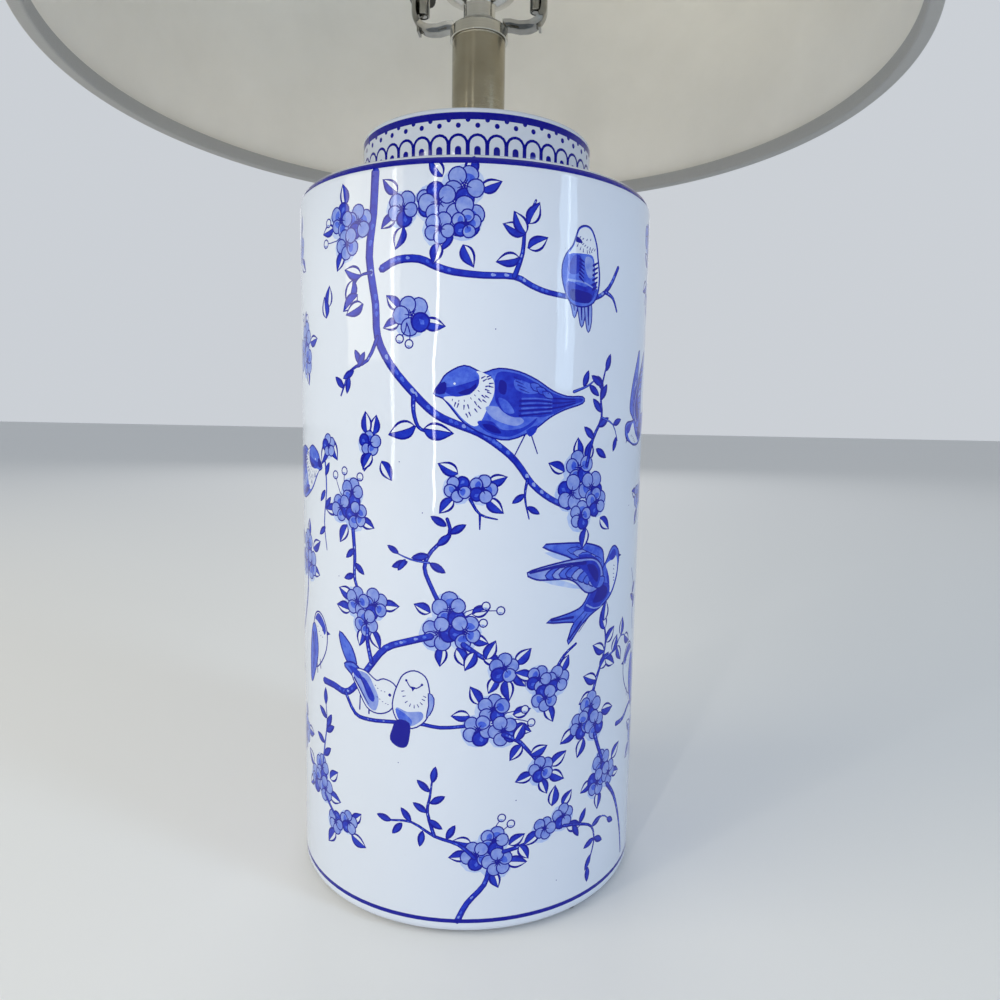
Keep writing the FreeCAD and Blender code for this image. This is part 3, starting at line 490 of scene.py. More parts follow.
def swallow(x, y, size=1.0, flip=1, turn=0.0):
    """A swallow in flight: two long wings swept back, a forked tail and a pale breast."""
    put = at(x, y, turn, size, flip)
    wash("haze", put([(-30, 14), (-18, 9), (-8, 7), (-12, 14)]), 2)
    wash("haze", put([(-36, 5), (-20, 1.5), (-10, -3), (-26, 0.5)]), 2)
    edged("mid", put([
        (-30.5, 16.6), (-22, 17), (-11, 16.4), (-3, 14.6), (1, 12.6), (2, 9.4), (2.2, 4.6),
        (-3, 5.4), (-12, 8.6), (-19, 12.2)]))
    for k in range(5):
        edged("pale" if k % 2 else "mid", put([
            (-19.0 + 3.0 * k, 14.4 - 1.3 * k), (-14.0 + 3.0 * k, 15.2 - 1.3 * k),
            (-9.0 + 2.6 * k, 12.4 - 1.2 * k), (-14.4 + 3.0 * k, 12.0 - 1.4 * k)]), 0.4, steps=2)
    wash("strong", put([(-13, 11.6), (-6, 11.4), (-1, 8), (-8, 7.2)]), 3)
    edged("mid", put([
        (8, 12), (11, 13), (14.6, 9.6), (14, 4), (12.6, -1.5), (8.6, -7.6), (2.4, -11.4),
        (-5, -14.4), (-11, -18.6), (-17.4, -25.4), (-15.6, -19.4), (-15, -16.2), (-28, -15),
        (-17, -12.8), (-10, -10.4), (-5.6, -4.4), (-2.6, 0.6), (2.4, 4.6), (5.4, 8.2)]))
    wash("glaze", put([
        (9, 7.6), (12.4, 8.8), (13.6, 4), (12.2, -1.2), (8.4, -7), (7, -3), (6, 2.4), (4.4, 5.8)]))
    wash("strong", put([(6.4, 8.6), (8.8, 11.4), (11.2, 11.8), (12.2, 9), (9, 7.2)]), 3)
    wash("strong", put([
        (-2, 0), (1.6, 1.6), (3.6, -1.8), (7.2, -3), (7.4, -7), (2.4, -10.8), (-4, -13.6),
        (-9.4, -11.6), (-4.8, -5)]))
    wash("cobalt", put([
        (0.6, -2.4), (5.6, -4.4), (5.6, -7.6), (1.8, -9.8), (-3.6, -9.6), (-2, -6)]))
    wash("strong", put([(5, 3.6), (7, 0), (7.4, -3.6), (5.6, -1.6)]), 3)
    stroke("pale", put([(-7.6, -10.2), (-3, -12.2), (2.4, -12)]), 0.9, 0.3)
    for bend in (-0.6, 0.9, 2.2):
        stroke("cobalt", put([
            (-8.0 + bend, -13.0 - bend), (-14.0 + bend, -17.8 - bend * 1.6)]), 0.5, 0.3, steps=1)
    paint("cobalt", put([(14.2, 9.8), (17.4, 8.4), (14.4, 7.6)]))
    dashes(put([(10.8, 4.6), (10.6, 1), (11, -2)]), 5, 1.0, 60, 0.5)
    edged("pale", put([
        (-37, 5.8), (-28, 8.2), (-16, 9.8), (-6, 9.6), (-1, 7.6), (1.8, 3.4), (1.6, -1.6),
        (-3.6, -4.6), (-8.6, -4), (-14, 0.6), (-19, 2.6), (-28, 3), (-33, 3.4)]))
    for k in range(9):
        x0, y0 = (-29.0 + 3.2 * k, 4.4 - max(0.0, (k - 3) * 1.25))
        edged("pale" if k in (1, 4, 7) else "mid", put([
            (x0, y0), (x0 + 2.2, y0 - 1.6), (x0 + 5.4, y0 - 1.0), (x0 + 6.8, y0 + 2.2),
            (x0 + 3.4, y0 + 2.6)]), 0.6, steps=2)
    wash("strong", put([
        (-14, 8.4), (-5, 8.8), (-0.4, 5.6), (0.8, 1.4), (-1.6, -3.4), (-5, -1.6), (-8.6, 3.6)]))
    wash("cobalt", put([(-8, 7), (-3.6, 6.6), (-0.8, 3), (-1.4, -1), (-4.6, 1.6)]), 3)
    stroke("cobalt", put([(-36, 6), (-22, 8.2), (-9, 8.2)]), 1.0, 1.6)
    stroke("cobalt", put([(-26, -14.6), (-15, -14.4)]), 0.8, 1.2)
    stroke("cobalt", put([(-16.8, -23.6), (-10.6, -17)]), 0.8, 1.2)


def love_birds(x, y, size=1.0, flip=1):
    """Two small birds pressed together: one seen from its side, one from its front."""
    put = at(x, y, 0, size, flip)
    edged("mid", put([
        (-25.6, 20.6), (-24, 14), (-19.6, 8), (-15.6, 7.8), (-16.6, 12.4), (-19.6, 16.8)]))
    edged("mid", put([(-22.4, 7.2), (-17, 8.6), (-12, 5), (-14, 1.4), (-19, 4.6)]))
    for foot in ((-13.4, -10.6), (-8.4, -11.4)):
        stroke("cobalt", put([(foot[0] + 0.4, -3), foot]), 0.6, 0.8, steps=1)
    edged("glaze", put([
        (-15, 6.6), (-10, 6.4), (-4.6, 3.4), (-1, 4.6), (3.4, 3.4), (5.6, 0), (4.8, -3.8),
        (1.4, -8.4), (-4, -10.2), (-9.4, -8.6), (-14, -2), (-17.6, 3.6)]), 0.6)
    wash("pale", put([
        (-14.6, 6), (-9, 5.4), (-6, 1.4), (-3.4, -4), (-5, -9.4), (-9, -8), (-13.6, -1.6),
        (-17, 3.4)]))
    wash("strong", put([(-12.4, 3.4), (-9.6, 2.6), (-5.6, -3.4), (-6.4, -6), (-9.4, -3.6)]))
    wash("strong", put([(-20.4, 7), (-15, 6.8), (-11.6, 3.2), (-14.4, 2.8)]), 2)
    stroke("cobalt", put([(-16.6, 2.6), (-12, -3), (-8.6, -7.4)]), 0.9, 0.4)
    stroke("cobalt", put([(-13.4, 4), (-8, -4)]), 0.7, 0.4, steps=1)
    dot("cobalt", *put([(2, -1.6)])[0], 0.75 * size, 7)
    dashes(put([(-5, 1.4), (-3, -0.2), (-0.4, -0.6)]), 4, 0.6, 20, 0.45)
    dashes(put([(-4, -3.4), (-1.4, -5), (1.2, -5.8)]), 5, 0.7, 20, 0.35)
    edged("glaze", put([
        (6, 3.6), (8.4, 7.8), (13, 9.8), (17.4, 7.8), (19, 3.2), (19.6, -4), (17.6, -10.4),
        (12, -14.2), (6.4, -12.4), (3.6, -7), (4.2, -1.4)]), 0.6)
    edged("pale", put([(19.2, 1), (21.2, -1), (20.6, -5.6), (18.4, -9), (19.4, -4)]), 0.5, steps=2)
    wash("pale", put([(5, -6.4), (10, -7.6), (16, -7), (16.6, -10), (11.6, -13.6), (6.6, -12)]))
    wash("mid", put([(4.6, -7), (8, -8), (12, -11), (11, -13.6), (6.6, -12)]), 3)
    edged("cobalt", put([
        (5.6, -12), (10.6, -12.6), (10.6, -18), (9.4, -22.2), (6, -22.8), (2.6, -20.4),
        (3.6, -16)]), 0.5)
    stroke("cobalt", put([(9.6, 5.6), (11.4, 3), (14, 2.8), (16.4, 4.4)]), 0.5, 0.5)
    paint("cobalt", put([(11.4, 3.4), (13.6, 3.2), (12.3, 1.2)]))
    dot("cobalt", *put([(9.5, 5.7)])[0], 0.6 * size, 6)
    dot("cobalt", *put([(16.3, 4.5)])[0], 0.6 * size, 6)
    dashes(put([(8, 1), (9.6, -3.4), (13, -5), (16, -3.4), (17.4, -0.4)]), 9, 1.5, 90, 0.5)


def small_bird(x, y, size=1.0, flip=1):
    """A small upright bird with a long folded wing, looking up."""
    put = at(x, y, 0, size, flip)
    edged("glaze", put([
        (-5, 13), (-1, 16.6), (3.6, 15.2), (6.8, 10.6), (7.4, 7), (6.4, 1.4), (2.4, -4.6),
        (-3, -8.6), (-7, -6), (-7.6, 2)]))
    wash("strong", put([
        (-4.6, 13), (-1, 16.2), (3.4, 14.6), (6.6, 10.4), (5.2, 7.6), (2.6, 10.4), (-2, 12.4)]))
    edged("mid", put([
        (-7.4, 9), (-4, 9.6), (-1.6, 2), (-2.6, -6), (-8, -16), (-10.6, -15.6), (-10.4, -2)]))
    stroke("cobalt", put([(-7, 6), (-6.4, -4), (-9, -14)]), 1.4, 0.5)
    stroke("strong", put([(-4.4, 6.4), (-4.2, -2), (-7, -11)]), 1.2, 0.4)
    paint("cobalt", put([(6.8, 10.4), (10.4, 9), (7.2, 7.8)]))
    dot("cobalt", *put([(3.6, 9.4)])[0], 0.6 * size, 6)
    dashes(put([(-1.4, 10), (0.8, 7), (3.4, 6.2)]), 4, 0.8, 60, 0.45)
    for foot in ((1.4, -8.6), (-2, -11.4)):
        stroke("cobalt", put([(foot[0] - 0.6, -4.6), foot]), 0.6, 0.7, steps=1)


def scenery():
    """One width of the pattern, from the trunk on the viewer's left round to the jar's side."""
    # The tall branch that runs from the top line to the middle, with its side branches.
    branch([(-41, 312), (-42, 296), (-44, 280), (-41, 262), (-40, 249), (-34, 238), (-24, 227),
            (-15, 219), (-6, 215), (2, 212), (10, 207), (17, 201), (24, 192), (32, 186),
            (41, 182)], 3.9, 2.5)
    branch([(-38, 275), (-31, 278), (-22, 278), (-15, 275), (-8, 273), (3, 272), (15, 272),
            (22, 269), (29, 267), (41, 266), (52, 267), (60, 272), (66, 281)], 3.4, 1.7)
    branch([(58, 270), (63, 268), (66, 263)], 2.0, 1.0)
    branch([(15, 272), (18, 281), (19, 291), (23, 301)], 2.2, 1.0)
    spray(leaf, 9.2, (19, 288, 158), (19, 288, 118), (20, 283, 28), (20, 292, 60), (17, 279, 190))
    branch([(-40, 249), (-45, 240), (-54, 236), (-60, 226)], 2.0, 0.9)
    spray(dark_leaf, 7.5, (-48, 238, 120), (-52, 236, 205), (-55, 234, 260), (-50, 237, 60),
          (-58, 229, 140))
    branch([(-24, 226), (-24, 220), (-22, 214), (-18, 212)], 2.2, 1.2)
    leaf(-23, 214, 195, 11.9, 1, 1.1)
    leaf(-20, 213, -8, 11.9, -1, 1.0)
    branch([(22, 194), (21, 187), (23, 178)], 1.5, 0.6)
    spray(dark_leaf, 6.5, (21, 188, 215), (22, 183, 330))
    # Blossoms on the tall branch.
    cluster(-55, 292, 20, 3, (100, 170, 250), ((-13, 4), (-15, -4)))
    cluster(-23, 298, 10, 2, (150, 200, 235), size=6.2)
    cluster(-8, 299, 60, 3, (25, 60, 120, 260), size=6.8)
    cluster(-9, 290, 10, 2, (230, 300), size=5.2)
    cluster(-25, 257, 40, 1, (155, 205, 330), size=6.6)
    buds(-27, 254, (-26, 246), (-30, 248))
    branch([(-43, 274), (-49, 273), (-53, 268)], 1.5, 0.6)
    leaf(-52, 272, 250, 11.2)
    leaf(-48, 273, 160, 9.5)
    leaf(-50, 266, 215, 10.0, -1)
    leaf(-47, 262, 200, 10.0)
    leaf(-69, 262, 80, 8.8)
    leaf(-70, 258, 100, 8.8, -1)
    # The finch and the perched bird.
    finch(13, 223)
    perched_bird(46, 279, 0.86)
    twig([(42, 229), (50, 232), (55, 236)], 1.4)
    spray(dark_leaf, 7.5, (50, 232, 325), (55, 236, 300), (47, 231, 70))
    # Blossoms left of the middle.
    cluster(-55, 181, 75, 3, (200, 260, 320), ((-9, 12), (-3, 14), (6, 12)), size=5.6)
    branch([(-53, 171), (-52, 160), (-52, 150), (-48, 142)], 2.2, 1.5)
    spray(dark_leaf, 7.0, (-52, 163, 220), (-52, 157, 320), (-52, 152, 200))
    cluster(-44, 207, 90, 1, (60, 110, 250), size=4.6)
    leaf(-38, 200, 300, 8.8)
    leaf(-43, 203, 235, 8.0, -1)
    leaf(-70, 206, 240, 10.0)
    leaf(-68, 208, 300, 10.0, -1)
    flower(-69, 205, 30, 2, 4.2)
    twig([(-72, 198), (-71, 186), (-73, 172), (-71, 160)], 1.2, 0.6)
    for py, turn in ((192, 60), (186, 230), (178, 50), (170, 215)):
        dark_leaf(-72, py, turn, 7.0)
    cluster(-1, 190, 0, 2, (20, 130, 210, 330), size=5.0)
    branch([(-1, 186), (3, 180), (10, 178)], 1.5, 0.6)
    branch([(3, 180), (3, 174)], 1.2, 0.6)
    # The bent stem that comes up from the middle blossoms.
    branch([(-10, 178), (-9, 172), (-16, 165), (-19, 158), (-16, 150), (-13, 144)], 1.5, 2.0)
    spray(dark_leaf, 7.8, (-9, 172, 30), (-10, 175, 150), (-14, 167, 40), (-17, 163, 190),
          (-26, 160, 200), (-17, 160, 330))
    twig([(-17, 160), (-25, 161), (-33, 164)], 1.1, 0.5)
    dark_leaf(-30, 163, 150, 6.2)
    dark_leaf(-27, 161, 235, 6.2)
    cluster(-46, 138, 30, 3, (150, 190, 260, 290, 20), size=5.6)
    cluster(-8, 135, 95, 3, (30, 150, 250, 285, 330), ((13, 1), (14, 8), (20, 6)), size=6.3)
    branch([(-74, 101), (-66, 101), (-58, 100), (-52, 104), (-44, 114), (-36, 123), (-26, 127),
            (-16, 130)], 3.2, 3.0)
    branch([(-43, 116), (-45, 124), (-45, 130)], 2.4, 2.0)
    branch([(-58, 100), (-52, 92), (-44, 91), (-34, 92), (-22, 93), (-12, 92), (-2, 93)], 1.9, 1.6)
    love_birds(-36, 105)
    branch([(-3, 127), (3, 123), (10, 119)], 2.7, 1.5)
    spray(leaf, 8.5, (2, 124, 240), (5, 123, 330), (6, 121, 60))
    cluster(14, 117, 15, 1, (20, 330, 230, 280), size=5.6)
    cluster(9, 94, 85, 3, (120, 160, 20, 350), ((14, 5), (17, -1)), size=6.2)
    branch([(14, 89), (20, 86), (24, 82), (29, 76)], 2.4, 1.4)
    spray(leaf, 8.0, (19, 86, 60), (22, 84, 230), (26, 79, 20), dark=-1)
    cluster(31, 72, 30, 1, (330, 10, 200, 270), size=5.2)
    # The swallow and what grows round it.
    swallow(60, 150)
    cluster(47, 192, 100, 3, (70, 100, 150, 300), size=6.4)
    cluster(52, 181, 30, 2, (330, 260), size=5.4)
    branch([(50, 199), (53, 210), (58, 219), (57, 229), (60, 240)], 2.0, 0.9)
    spray(dark_leaf, 8.0, (54, 210, 140), (56, 215, 30), (58, 221, 135), (57, 226, 60),
          (58, 232, 150), (60, 238, 70), (55, 206, 330))
    twig([(58, 219), (66, 216), (70, 209)], 1.1, 0.5)
    dark_leaf(66, 216, 20, 7.0)
    dark_leaf(69, 211, 250, 7.0)
    swallow(92, 218, 0.9, -1, 62)
    # Blossoms right of the middle and the long stem.
    branch([(35, 106), (37, 114), (41, 120), (47, 124)], 1.8, 1.2)
    cluster(33, 108, 20, 3, (150, 270, 40), size=5.4)
    branch([(57, 97), (60, 106), (64, 114), (66, 122), (64, 131)], 2.1, 1.0)
    spray(leaf, 8.8, (60, 105, 155), (62, 110, 40), (65, 117, 150), (66, 121, 40), (65, 127, 110),
          (64, 131, 80), (66, 114, 330), (58, 100, 200))
    twig([(66, 114), (74, 116), (80, 121), (88, 119)], 1.2, 0.6)
    spray(leaf, 8.2, (72, 115, 60), (76, 117, 300), (80, 121, 80), (84, 120, 330), dark=-1)
    cluster(56, 89, 80, 3, (200, 250, 10), size=5.6)
    cluster(67, 61, 100, 3, (340, 30, 190, 250), size=5.4)
    branch([(60, 81), (63, 74), (66, 68)], 2.4, 2.1)
    branch([(71, 54), (78, 46), (84, 34), (88, 22), (90, 12)], 2.4, 1.5)
    small_bird(92, 98, 1.0, -1)
    branch([(78, 80), (86, 80), (96, 84), (108, 82)], 2.5, 1.8)
    # What rises from the bottom line.
    branch([(-4, 8), (0, 16), (7, 24), (9, 31)], 2.8, 2.1)
    cluster(9, 38, 70, 3, (150, 185, 330, 20, 280), ((5, 15), (9, 12)), size=5.7)
    branch([(3, 36), (-4, 42), (-14, 45), (-24, 50), (-34, 49)], 2.0, 0.9)
    branch([(-14, 45), (-17, 55), (-16, 62), (-15, 70)], 1.8, 0.8)
    spray(dark_leaf, 7.5, (-24, 50, 130), (-28, 49, 230), (-33, 49, 170), (-19, 47, 260),
          (-17, 55, 150), (-16, 59, 30), (-16, 64, 140), (-15, 68, 80), (-17, 52, 330),
          (-9, 44, 60))
    branch([(15, 38), (24, 40), (32, 44)], 2.1, 1.4)
    leaf(22, 40, 300, 7.5)
    cluster(38, 47, 20, 2, (60, 100, 200, 330), size=5.0)
    branch([(43, 44), (52, 42), (60, 38), (62, 30), (58, 20)], 1.7, 0.8)
    spray(dark_leaf, 7.5, (52, 42, 60), (60, 38, 20), (62, 32, 330), (62, 32, 200), (60, 25, 240),
          (48, 43, 300), (58, 20, 270))
    twig([(60, 38), (68, 40), (74, 36)], 1.1, 0.5)
    dark_leaf(72, 37, 330, 7.0)
    # The lower left.
    cluster(-78, 54, 80, 3, (160, 20, 330, 200), size=5.6)
    cluster(-61, 40, 20, 2, (330, 20, 230), size=4.8)
    branch([(-74, 48), (-68, 43), (-64, 40)], 2.0, 1.4)
    twig([(-76, 62), (-74, 72), (-72, 82), (-73, 92)], 1.4, 0.6)
    spray(dark_leaf, 8.2, (-75, 66, 40), (-74, 72, 160), (-73, 78, 30), (-72, 84, 150),
          (-73, 90, 90), (-72, 80, 60))
    small_bird(-79, 114)
    # Round the side: a second tall branch, a pair of flying birds and more blossom.
    branch([
        (150, 8), (146, 30), (140, 52), (141, 74), (147, 92), (146, 112), (138, 130), (128, 146),
        (124, 164), (128, 184), (134, 202), (132, 222), (124, 240), (120, 258)], 3.6, 1.8)
    branch([(141, 66), (130, 72), (118, 74), (110, 70)], 2.4, 1.2)
    branch([(146, 112), (156, 120), (164, 134), (166, 148)], 2.5, 1.4)
    branch([(128, 184), (116, 190), (106, 186)], 2.1, 1.0)
    branch([(133, 214), (144, 222), (152, 234), (162, 240)], 2.5, 1.4)
    cluster(108, 66, 30, 3, (150, 200, 270, 330), ((-6, 13), (2, 15)), size=5.8)
    cluster(166, 154, 90, 3, (30, 80, 150, 330), size=6.0)
    cluster(103, 184, 10, 2, (180, 240, 300), size=5.4)
    cluster(164, 246, 70, 3, (20, 90, 300, 160), ((-4, 15), (4, 14)), size=6.0)
    cluster(118, 266, 30, 3, (60, 120, 170, 240), size=6.0)
    cluster(124, 118, 80, 2, (160, 220, 20), size=5.4)
    cluster(128, 30, 45, 3, (100, 160, 220), ((-14, 4), (-12, 10)), size=5.8)
    branch([(144, 40), (137, 35), (132, 32)], 2.1, 1.5)
    cluster(160, 70, 20, 1, (20, 90, 160, 250), size=6.0)
    cluster(152, 290, 20, 2, (200, 260, 330, 60), size=5.4)
    finch(160, 192, 0.85, -1)
    spray(dark_leaf, 7.8, (141, 74, 150), (143, 82, 30), (147, 96, 20), (145, 104, 160),
          (136, 134, 210), (130, 142, 20), (124, 160, 160), (125, 172, 20), (131, 196, 150),
          (133, 206, 30), (129, 232, 210), (122, 250, 20), (145, 20, 150), (147, 26, 20),
          (142, 46, 200), (110, 50, 240), (96, 130, 60), (98, 134, 150), (94, 138, 40))
    twig([(98, 120), (96, 130), (97, 140), (92, 150)], 1.2, 0.6)
    twig([(100, 300), (104, 290), (102, 278), (98, 270)], 1.5, 0.6)
    spray(leaf, 8.8, (103, 292, 30), (104, 288, 150), (102, 280, 210), (100, 275, 330))
    flower(101, 300, 10, 1, 5.4)
    for px, py in ((-30, 200), (8, 252), (30, 228), (-62, 150), (20, 60), (-30, 75), (40, 20),
                   (84, 180), (140, 150), (118, 210), (156, 50), (-20, 180), (33, 165)):
        dot("cobalt", px, py, 0.28, 5)


scenery()

# ---- Jar -----------------------------------------------------------------------------------------
# One cast and glazed ceramic jar with a low collar, painted before it was glazed. The flat painting
# is cut into triangles, one tone each, and wrapped round the jar's outline as one closed skin.

# The outline as (radius, height, rounding), from the bottom's hole over the foot to the top's hole.
ROD_HOLE = 5.25
COLLAR_RADIUS = 53.7
JAR_OUTLINE = ((ROD_HOLE, 24, 0), (71.5, 24, 0), (71.5, 2, 1), (JAR_RADIUS, 2, 4),
               (JAR_RADIUS, 317, 6), (COLLAR_RADIUS, 320, 1.6), (COLLAR_RADIUS, 344.5, 1.6),
               (ROD_HOLE, 344.5, 0))
ARC_STEPS = 6
COLUMNS = 96
FOOT_LINE, SHOULDER_LINE, COLLAR_LINE = (7.1, 8.9), (313.0, 316.0), (339.4, 342.3)


def outline_runs(corners):
    """The outline as runs of (from, to, start, end, normal, end normal); roundings are many runs.
    The way along it is counted so that it equals the height on the jar's wall."""
    points = [Vector(corner[:2]) for corner in corners]
    arcs = []
    for i, (point, corner) in enumerate(zip(points, corners)):
        into = (point - points[i - 1]).normalized()
        out = (points[(i + 1) % len(points)] - point).normalized()
        turn = math.atan2(into.x * out.y - into.y * out.x, into.dot(out))
        side = Vector((into.y, -into.x))
        start = point - into * corner[2] * math.tan(abs(turn) / 2)
        hollow = math.copysign(corner[2], turn)
        arc = [(start, side)]
        for step in range(1, ARC_STEPS + 1 if corner[2] else 1):
            normal = Matrix.Rotation(turn * step / ARC_STEPS, 2) @ side
            arc.append((start + (normal - side) * hollow, normal))
        arcs.append(arc)
    runs, along = [], 0.0
    for arc, following in zip(arcs, arcs[1:] + arcs[:1]):
        out = (following[0][0] - arc[-1][0]).normalized()
        straight = Vector((out.y, -out.x))
        pairs = list(zip(arc, arc[1:])) + [((arc[-1][0], straight), (following[0][0], straight))]
        for (start, normal), (end, end_normal) in pairs:
            runs.append((along, along + (end - start).length, start, end, normal, end_normal))
            along = runs[-1][1]
    longest = max(runs, key=lambda run: (run[1] - run[0]) * (run[4].x > 0))
    shift = longest[2].y - longest[0]
    return [(run[0] + shift, run[1] + shift) + run[2:] for run in runs]


jar_runs = outline_runs(JAR_OUTLINE)
FLAT_BOTTOM, FLAT_TOP = jar_runs[0][0], jar_runs[-1][1]
HALF_ROUND = math.pi * JAR_RADIUS


def on_run(point, run):
    """How far a point (radius, height) lies along a run, from 0 to 1."""
    return min(max((point - run[2]).dot(run[3] - run[2]) / (run[3] - run[2]).length_squared, 0), 1)


def outline_point(along):
    """The (radius, height) at a way along the outline."""
    run = next((run for run in jar_runs if along <= run[1]), jar_runs[-1])
    return run[2].lerp(run[3], (along - run[0]) / (run[1] - run[0]))


def band(tone, low, high):
    """A line right round the jar."""
    reach = HALF_ROUND * 1.1
    paint(tone, [(-reach, low), (reach, low), (reach, high), (-reach, high)])


# The pattern goes round twice.
pattern = haze_shapes + shapes
haze_shapes, shapes = [], []
for tone, outline in pattern:
    for times in (-1, 0, 1):
        moved = [(p.x + times * PATTERN_WIDTH, p.y) for p in outline]
        if min(p[0] for p in moved) < HALF_ROUND and max(p[0] for p in moved) > -HALF_ROUND:
            shapes.append((tone, [Vector(p) for p in moved]))

# The lines round the foot, the shoulder and the collar.
collar_run = next(run for run in jar_runs if run[2].y > 320 and run[3].y - run[2].y > 10)
COLLAR_FOOT = collar_run[0] - collar_run[2].y
band("cobalt", *FOOT_LINE)
band("cobalt", *SHOULDER_LINE)
band("cobalt", COLLAR_FOOT + COLLAR_LINE[0], COLLAR_FOOT + COLLAR_LINE[1])


def geometry_tree(name, inputs):
    """An empty geometry node tree with named inputs, each given as (name, kind, default)."""
    tree = bpy.data.node_groups.new(name, "GeometryNodeTree")
    for label, kind, default in inputs:
        socket = tree.interface.new_socket(label, in_out="INPUT", socket_type="NodeSocket" + kind)
        if default is not None:
            socket.default_value = default
    tree.interface.new_socket("Geometry", in_out="OUTPUT", socket_type="NodeSocketGeometry")
    return tree, tree.nodes.new("NodeGroupInput").outputs


def grown_mesh(name, tree, **values):
    """What a geometry tree makes with the given inputs, as a plain mesh."""
    mesh = bpy.data.meshes.new(name)
    holder = bpy.data.objects.new(name, mesh)
    scene.collection.objects.link(holder)
    modifier = holder.modifiers.new("grow", "NODES")
    modifier.node_group = tree
    for item in tree.interface.items_tree:
        if item.item_type == "SOCKET" and item.in_out == "INPUT" and item.name in values:
            modifier[item.identifier] = values[item.name]
    evaluated = holder.evaluated_get(bpy.context.evaluated_depsgraph_get())
    result = bpy.data.meshes.new_from_object(evaluated)
    holder.modifiers.remove(modifier)
    bpy.data.objects.remove(holder)
    return result


# The border on the collar: arches side by side, each with a small door and a dot over it.
ARCHES = 42
ARCH_PITCH = 2 * math.pi * COLLAR_RADIUS / ARCHES
ARCH_LAYERS = ("cobalt", "glaze", "cobalt")
border_tree, given = geometry_tree("collar_border", (
    ("Count", "Int", ARCHES), ("Pitch", "Float", ARCH_PITCH), ("Base", "Float", 321.9),
    ("Crown", "Float", 334.0), ("Line", "Float", 1.15), ("Door", "Float", 1.35),
    ("Door_Top", "Float", 329.0), ("Dot", "Float", 1.05), ("Dot_Height", "Float", 337.1),
    ("Hung_Dot", "Float", 1.0), ("Hung_Height", "Float", 339.3)))


def moved(shape, **place):
    """A border part moved to its place; Z is the layer that it is painted in."""
    spot = node(border_tree, "ShaderNodeCombineXYZ", place)
    return node(border_tree, "GeometryNodeTransform", {"Geometry": shape,
                                                       "Translation": spot}).outputs[0]


def disc(radius, x, y, layer):
    """A round part of the border."""
    circle = node(border_tree, "GeometryNodeMeshCircle", {"Vertices": 16, "Radius": radius},
                  fill_type="NGON")
    return moved(circle, X=x, Y=y, Z=layer)


def slab(half, low, high, layer):
    """A straight part of the border, by half its width and its two heights."""
    tall = maths(border_tree, "SUBTRACT", high, low)
    wide = maths(border_tree, "MULTIPLY", half, 2.0)
    block = node(border_tree, "GeometryNodeMeshGrid", {"Size X": wide, "Size Y": tall,
                                                       "Vertices X": 2, "Vertices Y": 2})
    middle = maths(border_tree, "ADD", low, maths(border_tree, "MULTIPLY", tall, 0.5))
    return moved(block, Y=middle, Z=layer)


half_pitch = maths(border_tree, "MULTIPLY", given["Pitch"], 0.5)
outside = maths(border_tree, "ADD", half_pitch, maths(border_tree, "MULTIPLY", given["Line"], 0.25))
inside = maths(border_tree, "SUBTRACT", outside, given["Line"])
spring = maths(border_tree, "SUBTRACT", given["Crown"], outside)
door_spring = maths(border_tree, "SUBTRACT", given["Door_Top"], given["Door"])
base_line = maths(border_tree, "ADD", given["Base"], 0.45)
border_parts = [disc(outside, 0.0, spring, 0.0), slab(outside, given["Base"], spring, 0.0),
                disc(inside, 0.0, spring, 1.0), slab(inside, base_line, spring, 1.0),
                disc(given["Door"], 0.0, door_spring, 2.0),
                slab(given["Door"], given["Base"], door_spring, 2.0),
                disc(given["Dot"], 0.0, given["Dot_Height"], 2.0),
                disc(given["Hung_Dot"], half_pitch, given["Hung_Height"], 2.0)]
join = node(border_tree, "GeometryNodeJoinGeometry")
for part in border_parts:
    border_tree.links.new(part, join.inputs[0])
step = node(border_tree, "ShaderNodeCombineXYZ", {"X": given["Pitch"]})
row = node(border_tree, "GeometryNodeMeshLine", {"Count": given["Count"], "Offset": step})
many = node(border_tree, "GeometryNodeInstanceOnPoints", {"Points": row, "Instance": join})
whole_border = node(border_tree, "GeometryNodeRealizeInstances", {0: many})


def shader_group(name, inputs, outputs):
    """An empty shader node group with named inputs, as (name, kind, default), and outputs."""
    group = bpy.data.node_groups.new(name, "ShaderNodeTree")
    for label, kind, default in inputs:
        group.interface.new_socket(label, in_out="INPUT",
                                   socket_type="NodeSocket" + kind).default_value = default
    for label, kind in outputs:
        group.interface.new_socket(label, in_out="OUTPUT", socket_type="NodeSocket" + kind)
    return group, group.nodes.new("NodeGroupInput").outputs


def object_spot(tree):
    """The place on the object, which every pattern here is laid out by."""
    return node(tree, "ShaderNodeTexCoord").outputs["Object"]


def use_group(tree, group, inputs):
    """Place a shader group in a material; gives its outputs."""
    return node(tree, "ShaderNodeGroup", inputs, node_tree=group).outputs


# Glaze is glassy and a little uneven, with a few pinholes; a wash pools darker in places.
glaze_skin, given = shader_group(
    "glaze_skin", (("Ripple", "Float", 30.0), ("Gloss", "Float", 0.05)),
    (("Roughness", "Float"), ("Height", "Float")))
spot_on = object_spot(glaze_skin)
ripple = node(glaze_skin, "ShaderNodeTexNoise", {"Vector": spot_on, "Scale": given["Ripple"],
                                                 "Detail": 2.0})
cells = node(glaze_skin, "ShaderNodeTexVoronoi", {"Vector": spot_on, "Scale": 160.0})
pin = node(glaze_skin, "ShaderNodeMapRange", {"Value": cells.outputs["Distance"],
                                              "From Max": 0.045, "To Min": -0.5, "To Max": 0.0})
gloss = maths(glaze_skin, "MULTIPLY_ADD", ripple, 0.05, given["Gloss"])
height = maths(glaze_skin, "ADD", ripple, pin)
node(glaze_skin, "NodeGroupOutput", {"Roughness": gloss, "Height": height})

